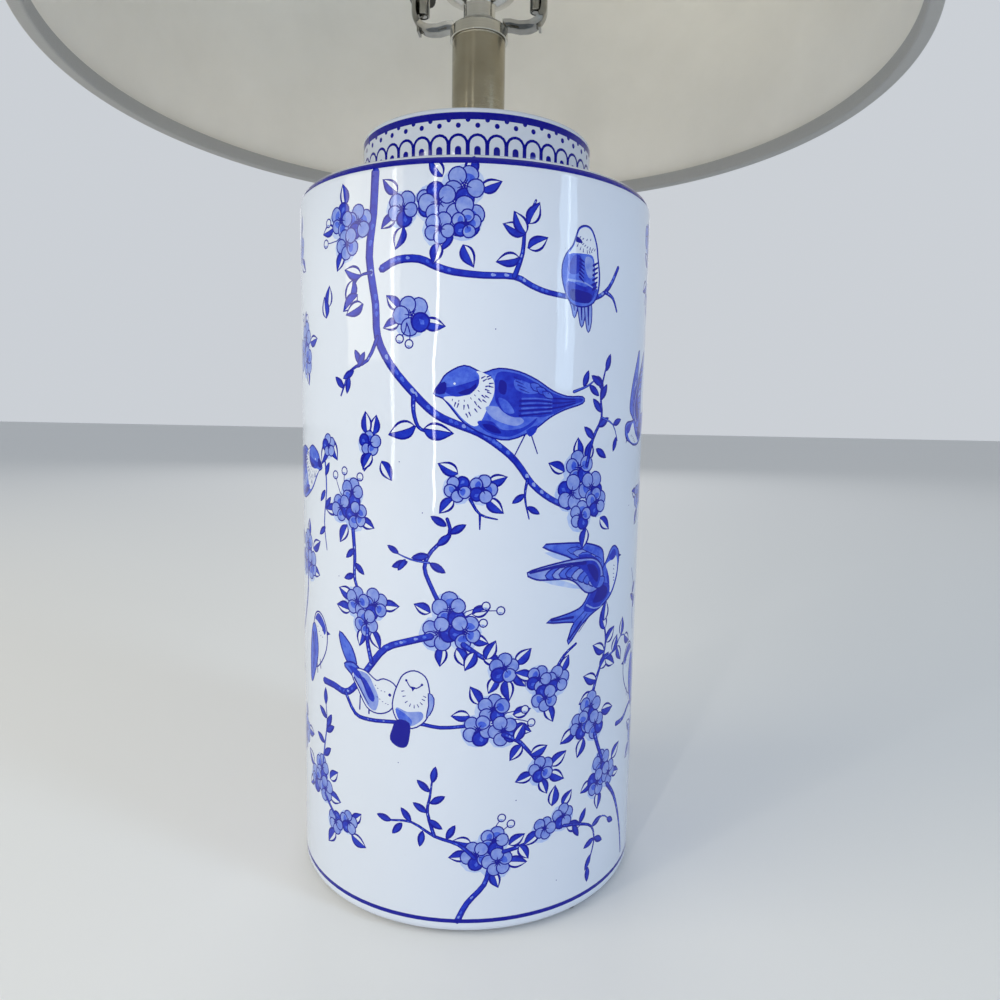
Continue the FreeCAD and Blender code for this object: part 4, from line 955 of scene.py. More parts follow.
wash_pool, given = shader_group(
    "wash_pool", (("Thin", "Color", (1, 1, 1, 1)), ("Pooled", "Color", (0, 0, 1, 1)),
                  ("Size", "Float", 260.0)), (("Color", "Color"),))
spot_on = object_spot(wash_pool)
cloud = node(wash_pool, "ShaderNodeTexNoise", {"Vector": spot_on, "Scale": given["Size"],
                                               "Detail": 4.0, "Roughness": 0.65})
edge = node(wash_pool, "ShaderNodeMapRange", {"Value": cloud, "From Min": 0.34, "From Max": 0.68})
blend = node(wash_pool, "ShaderNodeMix", {"Factor": edge, "A": given["Thin"],
                                          "B": given["Pooled"]}, data_type="RGBA")
node(wash_pool, "NodeGroupOutput", {"Color": blend.outputs["Result"]})

# Each tone's thin and pooled colour; the glaze and the brush line have one colour each.
TONE_COLOURS = {"glaze": ((0.58, 0.64, 0.76), None),
                "haze": ((0.43, 0.52, 0.76), (0.30, 0.41, 0.76)),
                "pale": ((0.24, 0.32, 0.68), (0.12, 0.19, 0.62)),
                "mid": ((0.075, 0.15, 0.66), (0.016, 0.050, 0.54)),
                "strong": ((0.010, 0.036, 0.50), (0.002, 0.008, 0.36)),
                "cobalt": ((0.001, 0.002, 0.26), None)}


def bump(tree, shader, height, strength, distance):
    """Raise a material's surface by a height."""
    raised = node(tree, "ShaderNodeBump", {"Height": height, "Strength": strength,
                                           "Distance": distance})
    tree.links.new(raised.outputs["Normal"], shader.inputs["Normal"])


def painted(tone):
    """The material of one tone, under the glaze."""
    thin, pooled = TONE_COLOURS[tone]
    material, tree, shader = finish_material("jar_" + tone, {
        "Base Color": (*thin, 1), "Specular IOR Level": 0.3})
    skin = use_group(tree, glaze_skin, {"Ripple": 26.0, "Gloss": 0.02})
    tree.links.new(skin["Roughness"], shader.inputs["Roughness"])
    bump(tree, shader, skin["Height"], 0.5, 0.0012)
    if pooled:
        colour = use_group(tree, wash_pool, {"Thin": (*thin, 1), "Pooled": (*pooled, 1)})
        tree.links.new(colour["Color"], shader.inputs["Base Color"])
    return material


jar_tones = [painted(tone) for tone in TONES]

coated = node(border_tree, "GeometryNodeSetMaterial", {
    "Geometry": whole_border, "Material": jar_tones[TONES.index("cobalt")]})
node(border_tree, "NodeGroupOutput", {0: coated})
border = grown_mesh("collar_border", border_tree)
on_collar = JAR_RADIUS / COLLAR_RADIUS
for face in sorted(border.polygons, key=lambda face: face.center.z):
    corners = [border.vertices[i].co for i in face.vertices]
    paint(ARCH_LAYERS[round(face.center.z)],
          [(co.x * on_collar - HALF_ROUND, COLLAR_FOOT + co.y) for co in corners])
    if face.center.x < ARCH_PITCH:
        paint(ARCH_LAYERS[round(face.center.z)],
              [(co.x * on_collar + HALF_ROUND, COLLAR_FOOT + co.y) for co in corners])
bpy.data.meshes.remove(border)

# The bore for the lead inlet, through the foot at the back: one ring on each side of the foot.
INLET_HEIGHT = 14.0
INLET_RADIUS = 4.4
INLET_SIDES = 24
back = (math.pi - VIEWER_SIDE) * JAR_RADIUS
RECESS_RADIUS = JAR_OUTLINE[1][0]
recess_wall = jar_runs[1]
for radius, run in ((JAR_RADIUS, None), (RECESS_RADIUS, recess_wall)):
    ring = []
    for k in range(INLET_SIDES):
        angle = 2 * math.pi * k / INLET_SIDES
        height = INLET_HEIGHT + INLET_RADIUS * math.sin(angle)
        ring.append((back + JAR_RADIUS * math.asin(INLET_RADIUS * math.cos(angle) / radius),
                     height if run is None else run[0] + run[2].y - height))
    paint("bore", ring)

verts, edges = [], []
for k in range(COLUMNS + 1):
    x = HALF_ROUND * (2 * k / COLUMNS - 1)
    verts += [Vector((x, FLAT_BOTTOM)), Vector((x, FLAT_TOP))]
    edges.append((len(verts) - 2, len(verts) - 1))
for along in [run[0] for run in jar_runs] + [FLAT_TOP]:
    verts += [Vector((-HALF_ROUND, along)), Vector((HALF_ROUND, along))]
    edges.append((len(verts) - 2, len(verts) - 1))
faces = []
for tone, outline in shapes:
    faces.append(list(range(len(verts), len(verts) + len(outline))))
    verts += outline
TOUCH = 1e-4
flat_verts, _, flat_faces, _, _, covers = delaunay_2d_cdt(verts, edges, faces, 1, TOUCH, True)

# Triangles of one tone are joined up to the next column or run, and cut again into fewer.
jar = bmesh.new()
run_of = jar.faces.layers.int.new("run")
flat = [jar.verts.new((point.x, point.y, 0)) for point in flat_verts]
for corners, cover in zip(flat_faces, covers):
    middle = sum((flat_verts[i] for i in corners), Vector((0, 0))) / 3
    tone = shapes[max(cover)][0] if cover else "glaze"
    if abs(middle.x) > HALF_ROUND or not FLAT_BOTTOM < middle.y < FLAT_TOP or tone == "bore":
        continue
    face = jar.faces.new([flat[i] for i in corners])
    face.material_index = TONES.index(tone)
    face[run_of] = next(i for i, run in enumerate(jar_runs) if middle.y <= run[1])
bmesh.ops.delete(jar, geom=[v for v in jar.verts if not v.link_faces], context="VERTS")
column = 2 * HALF_ROUND / COLUMNS
for edge in jar.edges:
    a, b = edge.verts
    upright = abs(a.co.x - b.co.x) < TOUCH
    on_column = upright and abs(a.co.x / column - round(a.co.x / column)) < 1e-3
    runs_beside = {face[run_of] for face in edge.link_faces}
    edge.seam = on_column or len(runs_beside) > 1
bmesh.ops.dissolve_limit(jar, angle_limit=math.radians(1.5), use_dissolve_boundaries=False,
                         verts=jar.verts, edges=jar.edges, delimit={"MATERIAL", "SEAM"})
bmesh.ops.triangulate(jar, faces=jar.faces, quad_method="BEAUTY", ngon_method="BEAUTY")
for vert in jar.verts:
    place = outline_point(min(max(vert.co.y, FLAT_BOTTOM), FLAT_TOP))
    vert.co = around(vert.co.x / JAR_RADIUS + VIEWER_SIDE, place.x, place.y) * MM


def close_seam(gap):
    """Join the skin's two upright edges where they meet at the back."""
    bmesh.ops.remove_doubles(jar, verts=[v for v in jar.verts if v.is_boundary], dist=gap * MM)


# The seam's equal points are joined first, then the bore is lined, then the seam's last gap.
close_seam(0.005)
rims = [edge for edge in jar.edges if edge.is_boundary]
near_bore = [edge for edge in rims if edge.verts[0].co.y > 60 * MM and edge.verts[0].co.z < 30 * MM]
for face in bmesh.ops.bridge_loops(jar, edges=near_bore)["faces"]:
    face[run_of] = -1
bmesh.ops.triangulate(jar, faces=[face for face in jar.faces if len(face.verts) > 3])
close_seam(0.6)
jar_mesh = bpy.data.meshes.new("painted_jar")
jar.to_mesh(jar_mesh)
jar.free()
for material in jar_tones:
    jar_mesh.materials.append(material)
runs_on = [item.value for item in jar_mesh.attributes["run"].data]
normals = []
for face, run_number in zip(jar_mesh.polygons, runs_on):
    run = jar_runs[run_number]
    for corner in face.vertices:
        co = jar_mesh.vertices[corner].co / MM
        if run_number < 0:
            normals.append(Vector((-co.x, 0, INLET_HEIGHT - co.z)).normalized())
            continue
        level = Vector((Vector(co[:2]).length, co.z))
        normal = run[4].lerp(run[5], on_run(level, run)).normalized()
        flat = Vector(co[:2]).normalized() * normal.x
        normals.append((flat.x, flat.y, normal.y))
jar_mesh.polygons.foreach_set("use_smooth", [True] * len(jar_mesh.polygons))
jar_mesh.normals_split_custom_set(normals)
jar_mesh.attributes.remove(jar_mesh.attributes["run"])
painted_jar = bpy.data.objects.new("painted_jar", jar_mesh)
scene.collection.objects.link(painted_jar)
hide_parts("jar_body")
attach(painted_jar, "base")

# ---- Foot and the hardware under the jar ---------------------------------------------------------
# Four rubber pads are glued under the foot. A threaded rod runs up through the whole lamp, and a
# nut with two washers and a rubber seal draws everything together from below.


def dress(material, *names):
    """Give CAD nodes a finish, in the slots that they came with."""
    for name in names:
        for slot in bpy.data.objects[name].material_slots:
            slot.material = material
    return material


def two_tone(tree, shader, mask, dark, light):
    """Colour a material between two colours by a mask."""
    blend = node(tree, "ShaderNodeMix", {"Factor": mask, "A": (*dark, 1), "B": (*light, 1)},
                 data_type="RGBA")
    tree.links.new(blend.outputs["Result"], shader.inputs["Base Color"])


# Fine grain with broad smudges, for rubber, plastic, board and handled metal. On the harp's nickel
# the smudges' dark colour is partly a painted reflection of a dark room.
grain, given = shader_group(
    "grain", (("Scale", "Float", 900.0), ("Rough", "Float", 0.4), ("Spread", "Float", 0.2)),
    (("Roughness", "Float"), ("Height", "Float"), ("Mask", "Float")))
spot_on = object_spot(grain)
fine = node(grain, "ShaderNodeTexNoise", {"Vector": spot_on, "Scale": given["Scale"],
                                          "Detail": 3.0})
broad_scale = maths(grain, "MULTIPLY", given["Scale"], 0.08)
broad = node(grain, "ShaderNodeTexNoise", {"Vector": spot_on, "Scale": broad_scale,
                                           "Detail": 5.0, "Roughness": 0.6})
smudge = node(grain, "ShaderNodeMapRange", {"Value": broad, "From Min": 0.35, "From Max": 0.68})
rough = maths(grain, "MULTIPLY_ADD", smudge, given["Spread"], given["Rough"])
node(grain, "NodeGroupOutput", {"Roughness": rough, "Height": fine, "Mask": smudge})


def grained(name, dark, light, rough, spread, scale, strength, distance, skin=grain, **plain):
    """A finish between two colours, with fine grain and smudges."""
    material, tree, shader = finish_material(
        name, {key.replace("_", " "): setting for key, setting in plain.items()})
    surface = use_group(tree, skin, {"Scale": scale, "Rough": rough, "Spread": spread})
    tree.links.new(surface["Roughness"], shader.inputs["Roughness"])
    two_tone(tree, shader, surface["Mask"], dark, light)
    bump(tree, shader, surface["Height"], strength, distance)
    return material


dress(grained("pad_rubber", (0.018, 0.018, 0.019), (0.045, 0.045, 0.046), 0.62, 0.25, 2600.0, 0.5,
              0.00012), "foot_pads", "bottom_seal", "lead_inlet")
plain_steel = dress(grained("plain_steel", (0.42, 0.41, 0.38), (0.66, 0.66, 0.64), 0.24, 0.3,
                            900.0, 0.25, 0.00006, Metallic=1.0),
                    "bottom_washer", "bottom_lock_washer", "rod_nut", "saddle_lock_washer")

# A bar with ribs along it, round it or winding up it, closed at both ends and rounded there.
ribbed_bar, given = geometry_tree("ribbed_bar", (
    ("Radius", "Float", 0.005), ("End_Radius", "Float", 0.005), ("Depth", "Float", 0.0005),
    ("Ribs", "Float", 1.0), ("Turns_Per_Metre", "Float", 1000.0), ("Length", "Float", 0.02),
    ("Round", "Float", 0.001), ("Sides", "Int", 24), ("Rows", "Int", 60),
    ("Finish", "Material", None)))


def reckon(operation, *terms):
    """One sum in the bar's tree."""
    return maths(ribbed_bar, operation, *terms)


across = reckon("ADD", given["Sides"], 1.0)
sheet_grid = node(ribbed_bar, "GeometryNodeMeshGrid", {
    "Size X": 1.0, "Size Y": 1.0, "Vertices X": across, "Vertices Y": given["Rows"]})
here = node(ribbed_bar, "GeometryNodeInputPosition")
place = node(ribbed_bar, "ShaderNodeSeparateXYZ", {0: here})
turn = reckon("MULTIPLY", reckon("ADD", place.outputs["X"], 0.5), 2 * math.pi)
part_way = reckon("ADD", place.outputs["Y"], 0.5)
along = reckon("MULTIPLY", part_way, given["Length"])
from_end = reckon("MINIMUM", along, reckon("SUBTRACT", given["Length"], along))
# The ends are rounded: how much the radius shrinks within the rounding's reach.
short = reckon("MAXIMUM", reckon("SUBTRACT", given["Round"], from_end), 0.0)
arc = reckon("SQRT", reckon("MAXIMUM", reckon("SUBTRACT", reckon("POWER", given["Round"], 2.0),
                                              reckon("POWER", short, 2.0)), 0.0))
inset = reckon("SUBTRACT", given["Round"], arc)
# The ribs are a wave in the radius, which fades out at the ends.
phase = reckon("ADD", reckon("MULTIPLY", turn, given["Ribs"]), reckon(
    "MULTIPLY", reckon("MULTIPLY", along, given["Turns_Per_Metre"]), 2 * math.pi))
wave = reckon("MULTIPLY", reckon("SUBTRACT", reckon("COSINE", phase), 1.0), 0.5)
fade = reckon("MINIMUM", reckon("DIVIDE", from_end, reckon("MULTIPLY", given["Round"], 1.5)), 1.0)
taper = reckon("MULTIPLY", part_way, reckon("SUBTRACT", given["End_Radius"], given["Radius"]))
full = reckon("ADD", reckon("SUBTRACT", reckon("ADD", given["Radius"], taper), inset),
              reckon("MULTIPLY", reckon("MULTIPLY", wave, given["Depth"]), fade))
# The first and last rows close in to the axis, and lie level with the rows next to them.
radius = reckon("MULTIPLY", full, reckon("GREATER_THAN", from_end, 1e-7))
bar_step = reckon("DIVIDE", given["Length"], reckon("SUBTRACT", given["Rows"], 1.0))
lifted = reckon("MINIMUM", reckon("MAXIMUM", along, bar_step),
                reckon("SUBTRACT", given["Length"], bar_step))
between = reckon("SUBTRACT", given["Length"], reckon("MULTIPLY", bar_step, 2.0))
rise = reckon("MULTIPLY", reckon("DIVIDE", reckon("SUBTRACT", lifted, bar_step), between),
              given["Length"])
bent = node(ribbed_bar, "ShaderNodeCombineXYZ", {
    "X": reckon("MULTIPLY", radius, reckon("COSINE", turn)),
    "Y": reckon("MULTIPLY", radius, reckon("SINE", turn)), "Z": rise})
wound = node(ribbed_bar, "GeometryNodeSetPosition", {"Geometry": sheet_grid.outputs["Mesh"],
                                                     "Position": bent})
merged = node(ribbed_bar, "GeometryNodeMergeByDistance", {"Geometry": wound, "Distance": 1e-6})
real = node(ribbed_bar, "GeometryNodeRealizeInstances", {0: merged})
coated = node(ribbed_bar, "GeometryNodeSetMaterial", {"Geometry": real,
                                                      "Material": given["Finish"]})
node(ribbed_bar, "NodeGroupOutput", {0: coated})


def face_outward(mesh):
    """Turn a closed mesh's faces outward, smooth but for its sharp edges."""
    made = bmesh.new()
    made.from_mesh(mesh)
    bmesh.ops.recalc_face_normals(made, faces=made.faces)
    made.to_mesh(mesh)
    made.free()
    mesh.polygons.foreach_set("use_smooth", [True] * len(mesh.polygons))
    mesh.set_sharp_from_angle(angle=math.radians(50))


def bar_piece(name, at_place, finish, **sizes):
    """A ribbed bar as a piece, its low end and its direction given by a matrix."""
    mesh = grown_mesh(name, ribbed_bar, Finish=finish, **sizes)
    mesh.transform(at_place)
    face_outward(mesh)
    piece = bpy.data.objects.new(name, mesh)
    scene.collection.objects.link(piece)
    return piece


# The rod is cut with a thread of 0.94 mm all the way up; its lower end shows under the nut.
ROD_PITCH = 0.00094
rod_low, rod_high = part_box("threaded_rod")
rod_radius = (rod_high[0] - rod_low[0]) / 2
rod_length = rod_high[2] - rod_low[2]
rod = bar_piece("rod_thread", Matrix.Translation((0, 0, rod_low[2])), plain_steel,
                Radius=rod_radius, End_Radius=rod_radius, Depth=0.0005, Ribs=-1.0,
                Turns_Per_Metre=1 / ROD_PITCH, Length=rod_length, Round=0.0005, Sides=16,
                Rows=round(rod_length / ROD_PITCH * 5))
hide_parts("threaded_rod")
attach(rod, "base")

# ---- Neck ----------------------------------------------------------------------------------------
# A tube of brushed nickel stands on a polished seat and carries a polished cap. It was brushed
# while it turned, so its grain runs round it and its highlights run up and down.

turned, given = shader_group(
    "turned", (("Scale", "Float", 4000.0), ("Rough", "Float", 0.3), ("Spread", "Float", 0.2)),
    (("Roughness", "Float"), ("Height", "Float"), ("Mask", "Float")))
spot_on = object_spot(turned)
split = node(turned, "ShaderNodeSeparateXYZ", {0: spot_on})
flat_spot = node(turned, "ShaderNodeCombineXYZ", {"X": split.outputs["X"], "Y": split.outputs["Y"]})
distance = node(turned, "ShaderNodeVectorMath", {0: flat_spot}, operation="LENGTH")
round_spot = node(turned, "ShaderNodeCombineXYZ", {"X": distance.outputs["Value"],
                                                   "Z": split.outputs["Z"]})
lines = node(turned, "ShaderNodeTexNoise", {"Vector": round_spot,
                                            "Scale": given["Scale"], "Detail": 2.0})
smears = node(turned, "ShaderNodeTexNoise", {"Vector": spot_on, "Scale": 70.0, "Detail": 5.0})
mixed_in = maths(turned, "MULTIPLY", lines, smears)
mask = node(turned, "ShaderNodeMapRange", {"Value": mixed_in, "From Min": 0.1, "From Max": 0.42})
rough = maths(turned, "MULTIPLY_ADD", mask, given["Spread"], given["Rough"])
node(turned, "NodeGroupOutput", {"Roughness": rough, "Height": lines, "Mask": mask})


def turned_metal(*look, **plain):
    """A metal between two colours, with fine lines round its axis."""
    return grained(*look, 0.00005, skin=turned, Metallic=1.0, **plain)


dress(turned_metal("neck_nickel", (0.33, 0.295, 0.215), (0.50, 0.46, 0.36), 0.20, 0.10, 5200.0,
                   0.12, Anisotropic=0.9, Anisotropic_Rotation=0.25), "neck_tube")
dress(turned_metal("cap_nickel", (0.56, 0.54, 0.48), (0.70, 0.68, 0.62), 0.14, 0.12, 2600.0, 0.05),
      "neck_cap", "neck_seat")

# ---- Saddle, harp and stud -----------------------------------------------------------------------
# The saddle is stamped from strip, the harp bent from wire and the strap on its top carries a
# threaded stud. Two sleeves slide down over the joints. All of it is bright nickel plate.

# The harp's nickel is painted darker than the metal is, and its smudges are strong: a painted
# reflection of a dark room in the plate, over smudges that fall at random.
harp_nickel = dress(grained("harp_nickel", (0.26, 0.255, 0.235), (0.60, 0.59, 0.55), 0.06, 0.16,
                            420.0, 0.10, 0.00006, Metallic=1.0),
                    "harp_saddle", "harp", "harp_stud", "left_sleeve", "right_sleeve")

STUD_PITCH = 0.00094
STUD_RADIUS = 0.003215
strap_low, stud_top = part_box("harp_stud")
STRAP_THICKNESS = 0.0016
stud_base = strap_low[2] + STRAP_THICKNESS
stud = bar_piece("stud_thread", Matrix.Translation((0, 0, stud_base)), harp_nickel,
                 Radius=STUD_RADIUS, End_Radius=STUD_RADIUS, Depth=0.0004,
                 Ribs=-1.0, Turns_Per_Metre=1 / STUD_PITCH, Length=stud_top[2] - stud_base,
                 Round=0.0004, Sides=20, Rows=86)
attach(stud, "base")

# ---- Socket and switch ---------------------------------------------------------------------------
# A nickelled brass cap and shell hold a board liner, a black phenolic block with brass screws, the
# screw shell and its contact. A brass shaft carries the black ribbed knob.

dress(turned_metal("socket_nickel", (0.58, 0.57, 0.54), (0.76, 0.75, 0.72), 0.12, 0.14, 1600.0,
                   0.06), "socket_cap", "socket_shell")
dress(grained("liner_board", (0.30, 0.23, 0.15), (0.42, 0.34, 0.23), 0.75, 0.15, 1500.0, 0.5,
              0.0002), "socket_liner")
dress(grained("block_phenolic", (0.012, 0.011, 0.010), (0.035, 0.031, 0.027), 0.35, 0.25, 1300.0,
              0.25, 0.00008), "switch_block")
dress(grained("contact_brass", (0.52, 0.36, 0.13), (0.78, 0.60, 0.28), 0.2, 0.25, 500.0, 0.15,
              0.00006, Metallic=1.0),
      "terminal_screws", "screw_shell", "centre_contact", "switch_shaft", "finial_insert")
knob_black = grained("knob_black", (0.008, 0.008, 0.009), (0.022, 0.022, 0.023), 0.32, 0.22,
                     1800.0, 0.25, 0.00006)

switch = next(joint for joint in frame["joints"] if joint["name"] == "switch_turn")
shaft_way = Vector(switch["axis"]).normalized()
shaft_level = Vector(switch["pos_m"])
KNOB_START = 0.031
KNOB_LENGTH = 0.008
KNOB_RADIUS, KNOB_END_RADIUS = 0.006, 0.0054
knob_place = (Matrix.Translation(shaft_level + shaft_way * KNOB_START)
              @ shaft_way.to_track_quat("Z", "Y").to_matrix().to_4x4())
knob = bar_piece("ribbed_knob", knob_place, knob_black, Radius=KNOB_RADIUS,
                 End_Radius=KNOB_END_RADIUS, Depth=0.0005, Ribs=22.0, Turns_Per_Metre=0.0,
                 Length=KNOB_LENGTH, Round=0.0009, Sides=176, Rows=28)
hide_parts("switch_knob")
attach(knob, "switch")

# ---- Bulb ----------------------------------------------------------------------------------------
# A frosted glass bulb on a rolled screw base, with a black glass button and a solder tip.

bulb_metal = grained("bulb_metal", (0.58, 0.58, 0.57), (0.78, 0.78, 0.77), 0.22, 0.2, 600.0, 0.15,
                     0.00006, Metallic=1.0)
dress(grained("bulb_solder", (0.42, 0.42, 0.42), (0.66, 0.66, 0.65), 0.3, 0.25, 1400.0, 0.4, 0.0001,
              Metallic=1.0), "bulb_tip")
dress(grained("bulb_black", (0.006, 0.006, 0.007), (0.014, 0.014, 0.016), 0.08, 0.1, 600.0, 0.1,
              0.00005), "bulb_button")
dress(grained("bulb_frost", (0.86, 0.86, 0.84), (0.92, 0.92, 0.90), 0.22, 0.12, 2400.0, 0.12,
              0.00004, Subsurface_Weight=0.3, Subsurface_Scale=0.004), "bulb_glass")

BASE_PITCH = 0.0254 / 7
base_low, base_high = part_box("bulb_base")
base_radius = (base_high[0] - base_low[0]) / 2
screw_base = bar_piece("screw_base", Matrix.Translation((0, 0, base_low[2])), bulb_metal,
                       Radius=base_radius, End_Radius=base_radius, Depth=0.0011, Ribs=-1.0,
                       Turns_Per_Metre=1 / BASE_PITCH, Length=base_high[2] - base_low[2],
                       Round=0.0012, Sides=64, Rows=82)
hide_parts("bulb_base")
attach(screw_base, "bulb")

# ---- Shade ---------------------------------------------------------------------------------------
# A hardback drum: linen cloth glued on a smooth white backing sheet and lapped at the back. The
# backing is rolled on two wire rings, and cotton tape is folded round each edge and its ring.

# Cloth is measured round the drum and up it: threads cross over and under, and some are thicker.
MEAN_DRUM_RADIUS = 0.185
weave, given = shader_group(
    "weave", (("Thread", "Float", 0.0006), ("Slub", "Float", 0.5)),
    (("Height", "Float"), ("Shade", "Float")))
spot_on = object_spot(weave)
split = node(weave, "ShaderNodeSeparateXYZ", {0: spot_on})
angle = maths(weave, "ARCTAN2", split.outputs["X"], split.outputs["Y"])
round_way = maths(weave, "MULTIPLY", angle, MEAN_DRUM_RADIUS)


def threads(along, across, seed):
    """One set of threads: a rounded ridge for each, which thins and thickens along its way."""
    count = maths(weave, "DIVIDE", across, given["Thread"])
    stretched = node(weave, "ShaderNodeCombineXYZ", {
        "X": maths(weave, "MULTIPLY", along, 60.0), "Y": maths(weave, "MULTIPLY", count, 0.5),
        "Z": seed})
    slub = node(weave, "ShaderNodeTexNoise", {"Vector": stretched, "Scale": 1.0,
                                              "Detail": 3.0, "Roughness": 0.7})
    ridge = maths(weave, "PINGPONG", count, 0.5)
    return count, maths(weave, "MULTIPLY_ADD", slub, given["Slub"], ridge)


warp_count, warp = threads(split.outputs["Z"], round_way, 3.0)
weft_count, weft = threads(round_way, split.outputs["Z"], 9.0)
both = maths(weave, "ADD", maths(weave, "FLOOR", warp_count), maths(weave, "FLOOR", weft_count))
over = maths(weave, "FLOORED_MODULO", both, 2.0)
cloth = node(weave, "ShaderNodeMix", {"Factor": over, "A": warp, "B": weft}, data_type="FLOAT")
shade = node(weave, "ShaderNodeMapRange", {"Value": cloth, "From Min": 0.1, "From Max": 0.95})
node(weave, "NodeGroupOutput", {"Height": cloth, "Shade": shade})


def woven(name, dark, light, thread, slub, distance, sheen):
    """A cloth between two colours."""
    material, tree, shader = finish_material(name, {"Roughness": 0.92, "Sheen Weight": sheen,
                                                    "Sheen Roughness": 0.5})
    cloth = use_group(tree, weave, {"Thread": thread, "Slub": slub})
    two_tone(tree, shader, cloth["Shade"], dark, light)
    bump(tree, shader, cloth["Height"], 0.5, distance)
    return material


shade_fabric = woven("shade_fabric", (0.66, 0.64, 0.60), (0.86, 0.85, 0.82), 0.00055, 0.55,
                     0.00012, 0.15)
trim_fabric = woven("trim_fabric", (0.34, 0.34, 0.33), (0.52, 0.52, 0.51), 0.00042, 0.3,
                    0.00010, 0.1)
dress(grained("shade_backing", (0.86, 0.835, 0.77), (0.93, 0.905, 0.84), 0.5, 0.12, 160.0, 0.12,
              0.0002, Sheen_Weight=0.05), "shade_backing")
dress(grained("ring_steel", (0.76, 0.76, 0.74), (0.86, 0.86, 0.84), 0.42, 0.2, 1500.0, 0.3,
              0.00008), "shade_bottom_ring", "shade_top_ring", "spider_washer", "spider_arms")

cover_low, cover_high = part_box("shade_cover")
SHADE_LOW, SHADE_TOP = cover_low[2], cover_high[2]
BOTTOM_RADIUS = (cover_high[0] - cover_low[0]) / 2
TOP_RADIUS = 0.178
COVER_THICKNESS = 0.0006
LAP_WIDTH = 0.012
LAP_RAISE = 0.0006
LAP_SLOPE = 0.0008
SHADE_SIDES = 240
COVER_ROWS = 24


def drum_radius(height):
    """The cover's radius at a height."""
    part = (height - SHADE_LOW) / (SHADE_TOP - SHADE_LOW)
    return BOTTOM_RADIUS + (TOP_RADIUS - BOTTOM_RADIUS) * part


def tube(name, material, angles, profile):
    """A skin from one profile per angle, each a closed ring of (radius, height) in metres."""
    verts, faces = [], []
    rings = [profile(angle) for angle in angles]
    rows = len(rings[0])
    for angle, ring in zip(angles, rings):
        verts += [around(angle, radius, height) for radius, height in ring]
    for i in range(len(angles)):
        for j in range(rows):
            a, b = i * rows, (i + 1) % len(angles) * rows
            k = (j + 1) % rows
            faces.append((a + j, b + j, b + k, a + k))
    piece = mesh_piece(name, verts, faces, [material])
    face_outward(piece.data)
    return piece


def cover_ring(angle):
    """The cloth's section: its outer face from the bottom up, and its inner face down again."""
    off = angle % (2 * math.pi) - math.pi
    from_lap = abs(off) * BOTTOM_RADIUS
    raise_by = LAP_RAISE * min(max((LAP_WIDTH / 2 - from_lap) / LAP_SLOPE, 0), 1)
    heights = [SHADE_LOW + (SHADE_TOP - SHADE_LOW) * k / COVER_ROWS for k in range(COVER_ROWS + 1)]
    outer = [(drum_radius(z) + raise_by, z) for z in heights]
    return outer + [(drum_radius(z) - COVER_THICKNESS, z) for z in heights[::-1]]


lap_half = LAP_WIDTH / 2 / BOTTOM_RADIUS
edge_step = 0.0009 / BOTTOM_RADIUS
lap_angles = [side * (lap_half + k * edge_step) for side in (-1, 1) for k in (-1, -0.5, 0, 0.3)]
drum_angles = sorted(set([math.pi + a for a in lap_angles]
                         + [2 * math.pi * k / SHADE_SIDES for k in range(SHADE_SIDES)]))
cover = tube("linen_cover", shade_fabric, drum_angles, cover_ring)

# The tape's section, folded round the drum's edge: along the outside, round the ring, and inside.
TAPE = 0.0006
TAPE_OUTSIDE, TAPE_INSIDE = 0.009, 0.0065
SKIN_GAP = 0.00005
WALL_AND_RING = 0.0011 + 2 * 0.0016 + 0.0003
FRILL = 0.00005
NOTCH_HALF, NOTCH_LEFT = 0.0022, 0.0002
pucker = random.Random(5)
pucker_waves = [(pucker.randrange(20, 160), pucker.uniform(0, 6.28), pucker.uniform(0.2, 1.0))
                for _ in range(12)]


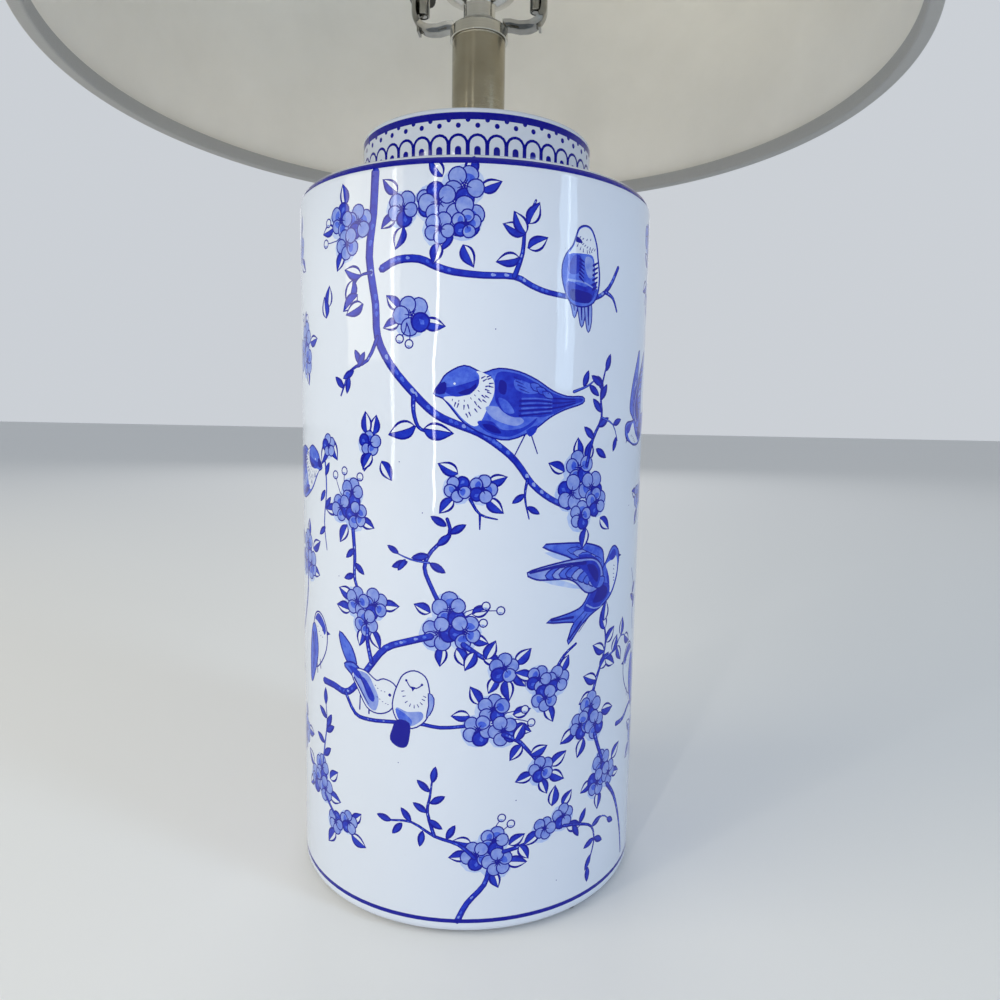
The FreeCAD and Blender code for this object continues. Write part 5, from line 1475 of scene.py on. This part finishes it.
def tape_ring(edge_height, up, notches=()):
    """The tape's section at each angle, as rises from the edge and insets from the cover. It is
    cut short inside where a notch leaves room for a spider arm."""
    face, far = -SKIN_GAP - TAPE, WALL_AND_RING + TAPE

    def ring(angle):
        wave = sum(size * math.sin(count * angle + start) for count, start, size in pucker_waves)
        hem = TAPE_OUTSIDE + FRILL * wave
        inside = TAPE_INSIDE
        for notch in notches:
            off = abs((angle - notch + math.pi) % (2 * math.pi) - math.pi) * TOP_RADIUS
            if off < NOTCH_HALF:
                inside = NOTCH_LEFT
        outer = [(hem, face), (0.006, face), (0.003, face), (0.0006, face)]
        fold = [(-SKIN_GAP - TAPE * math.sin(a), -SKIN_GAP - TAPE * math.cos(a))
                for a in (0.3, 0.8, 1.2)]
        under = [(face, 0.0005), (face, 0.0025), (face, WALL_AND_RING - 0.0006)]
        turn = [(-SKIN_GAP - TAPE * math.cos(a) + 0.0003 * (1 - math.cos(a)),
                 WALL_AND_RING + TAPE * math.sin(a)) for a in (0.3, 0.8, 1.3)]
        inner = [(min(0.003, inside), far), (inside, far), (inside, WALL_AND_RING),
                 (min(0.003, inside), WALL_AND_RING), (-SKIN_GAP, WALL_AND_RING),
                 (-SKIN_GAP, 0.0024), (-SKIN_GAP, -SKIN_GAP), (0.003, -SKIN_GAP),
                 (0.006, -SKIN_GAP), (hem, -SKIN_GAP)]
        return [(drum_radius(edge_height + up * rise) - inset, edge_height + up * rise)
                for rise, inset in outer + fold + under + turn + inner]
    return ring


tape_angles = [2 * math.pi * k / 720 for k in range(720)]
bottom_tape = tube("bottom_tape", trim_fabric, tape_angles, tape_ring(SHADE_LOW, 1))
spider_ways = [math.pi / 2 - 2 * math.pi * k / 3 for k in range(3)]
top_tape = tube("top_tape", trim_fabric, tape_angles, tape_ring(SHADE_TOP, -1, spider_ways))

for piece, label, finish in ((cover, "shade_cover", "shade_fabric"),
                             (bottom_tape, "shade_bottom_trim", "trim_fabric"),
                             (top_tape, "shade_top_trim", "trim_fabric")):
    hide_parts(label)
    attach(piece, "shade")

# ---- Finial --------------------------------------------------------------------------------------
# A turned knob of satin nickel over a brass insert, which screws down the stud on the shade.

dress(turned_metal("finial_nickel", (0.52, 0.50, 0.45), (0.70, 0.68, 0.62), 0.18, 0.14, 2200.0,
                   0.08), "finial_knob")
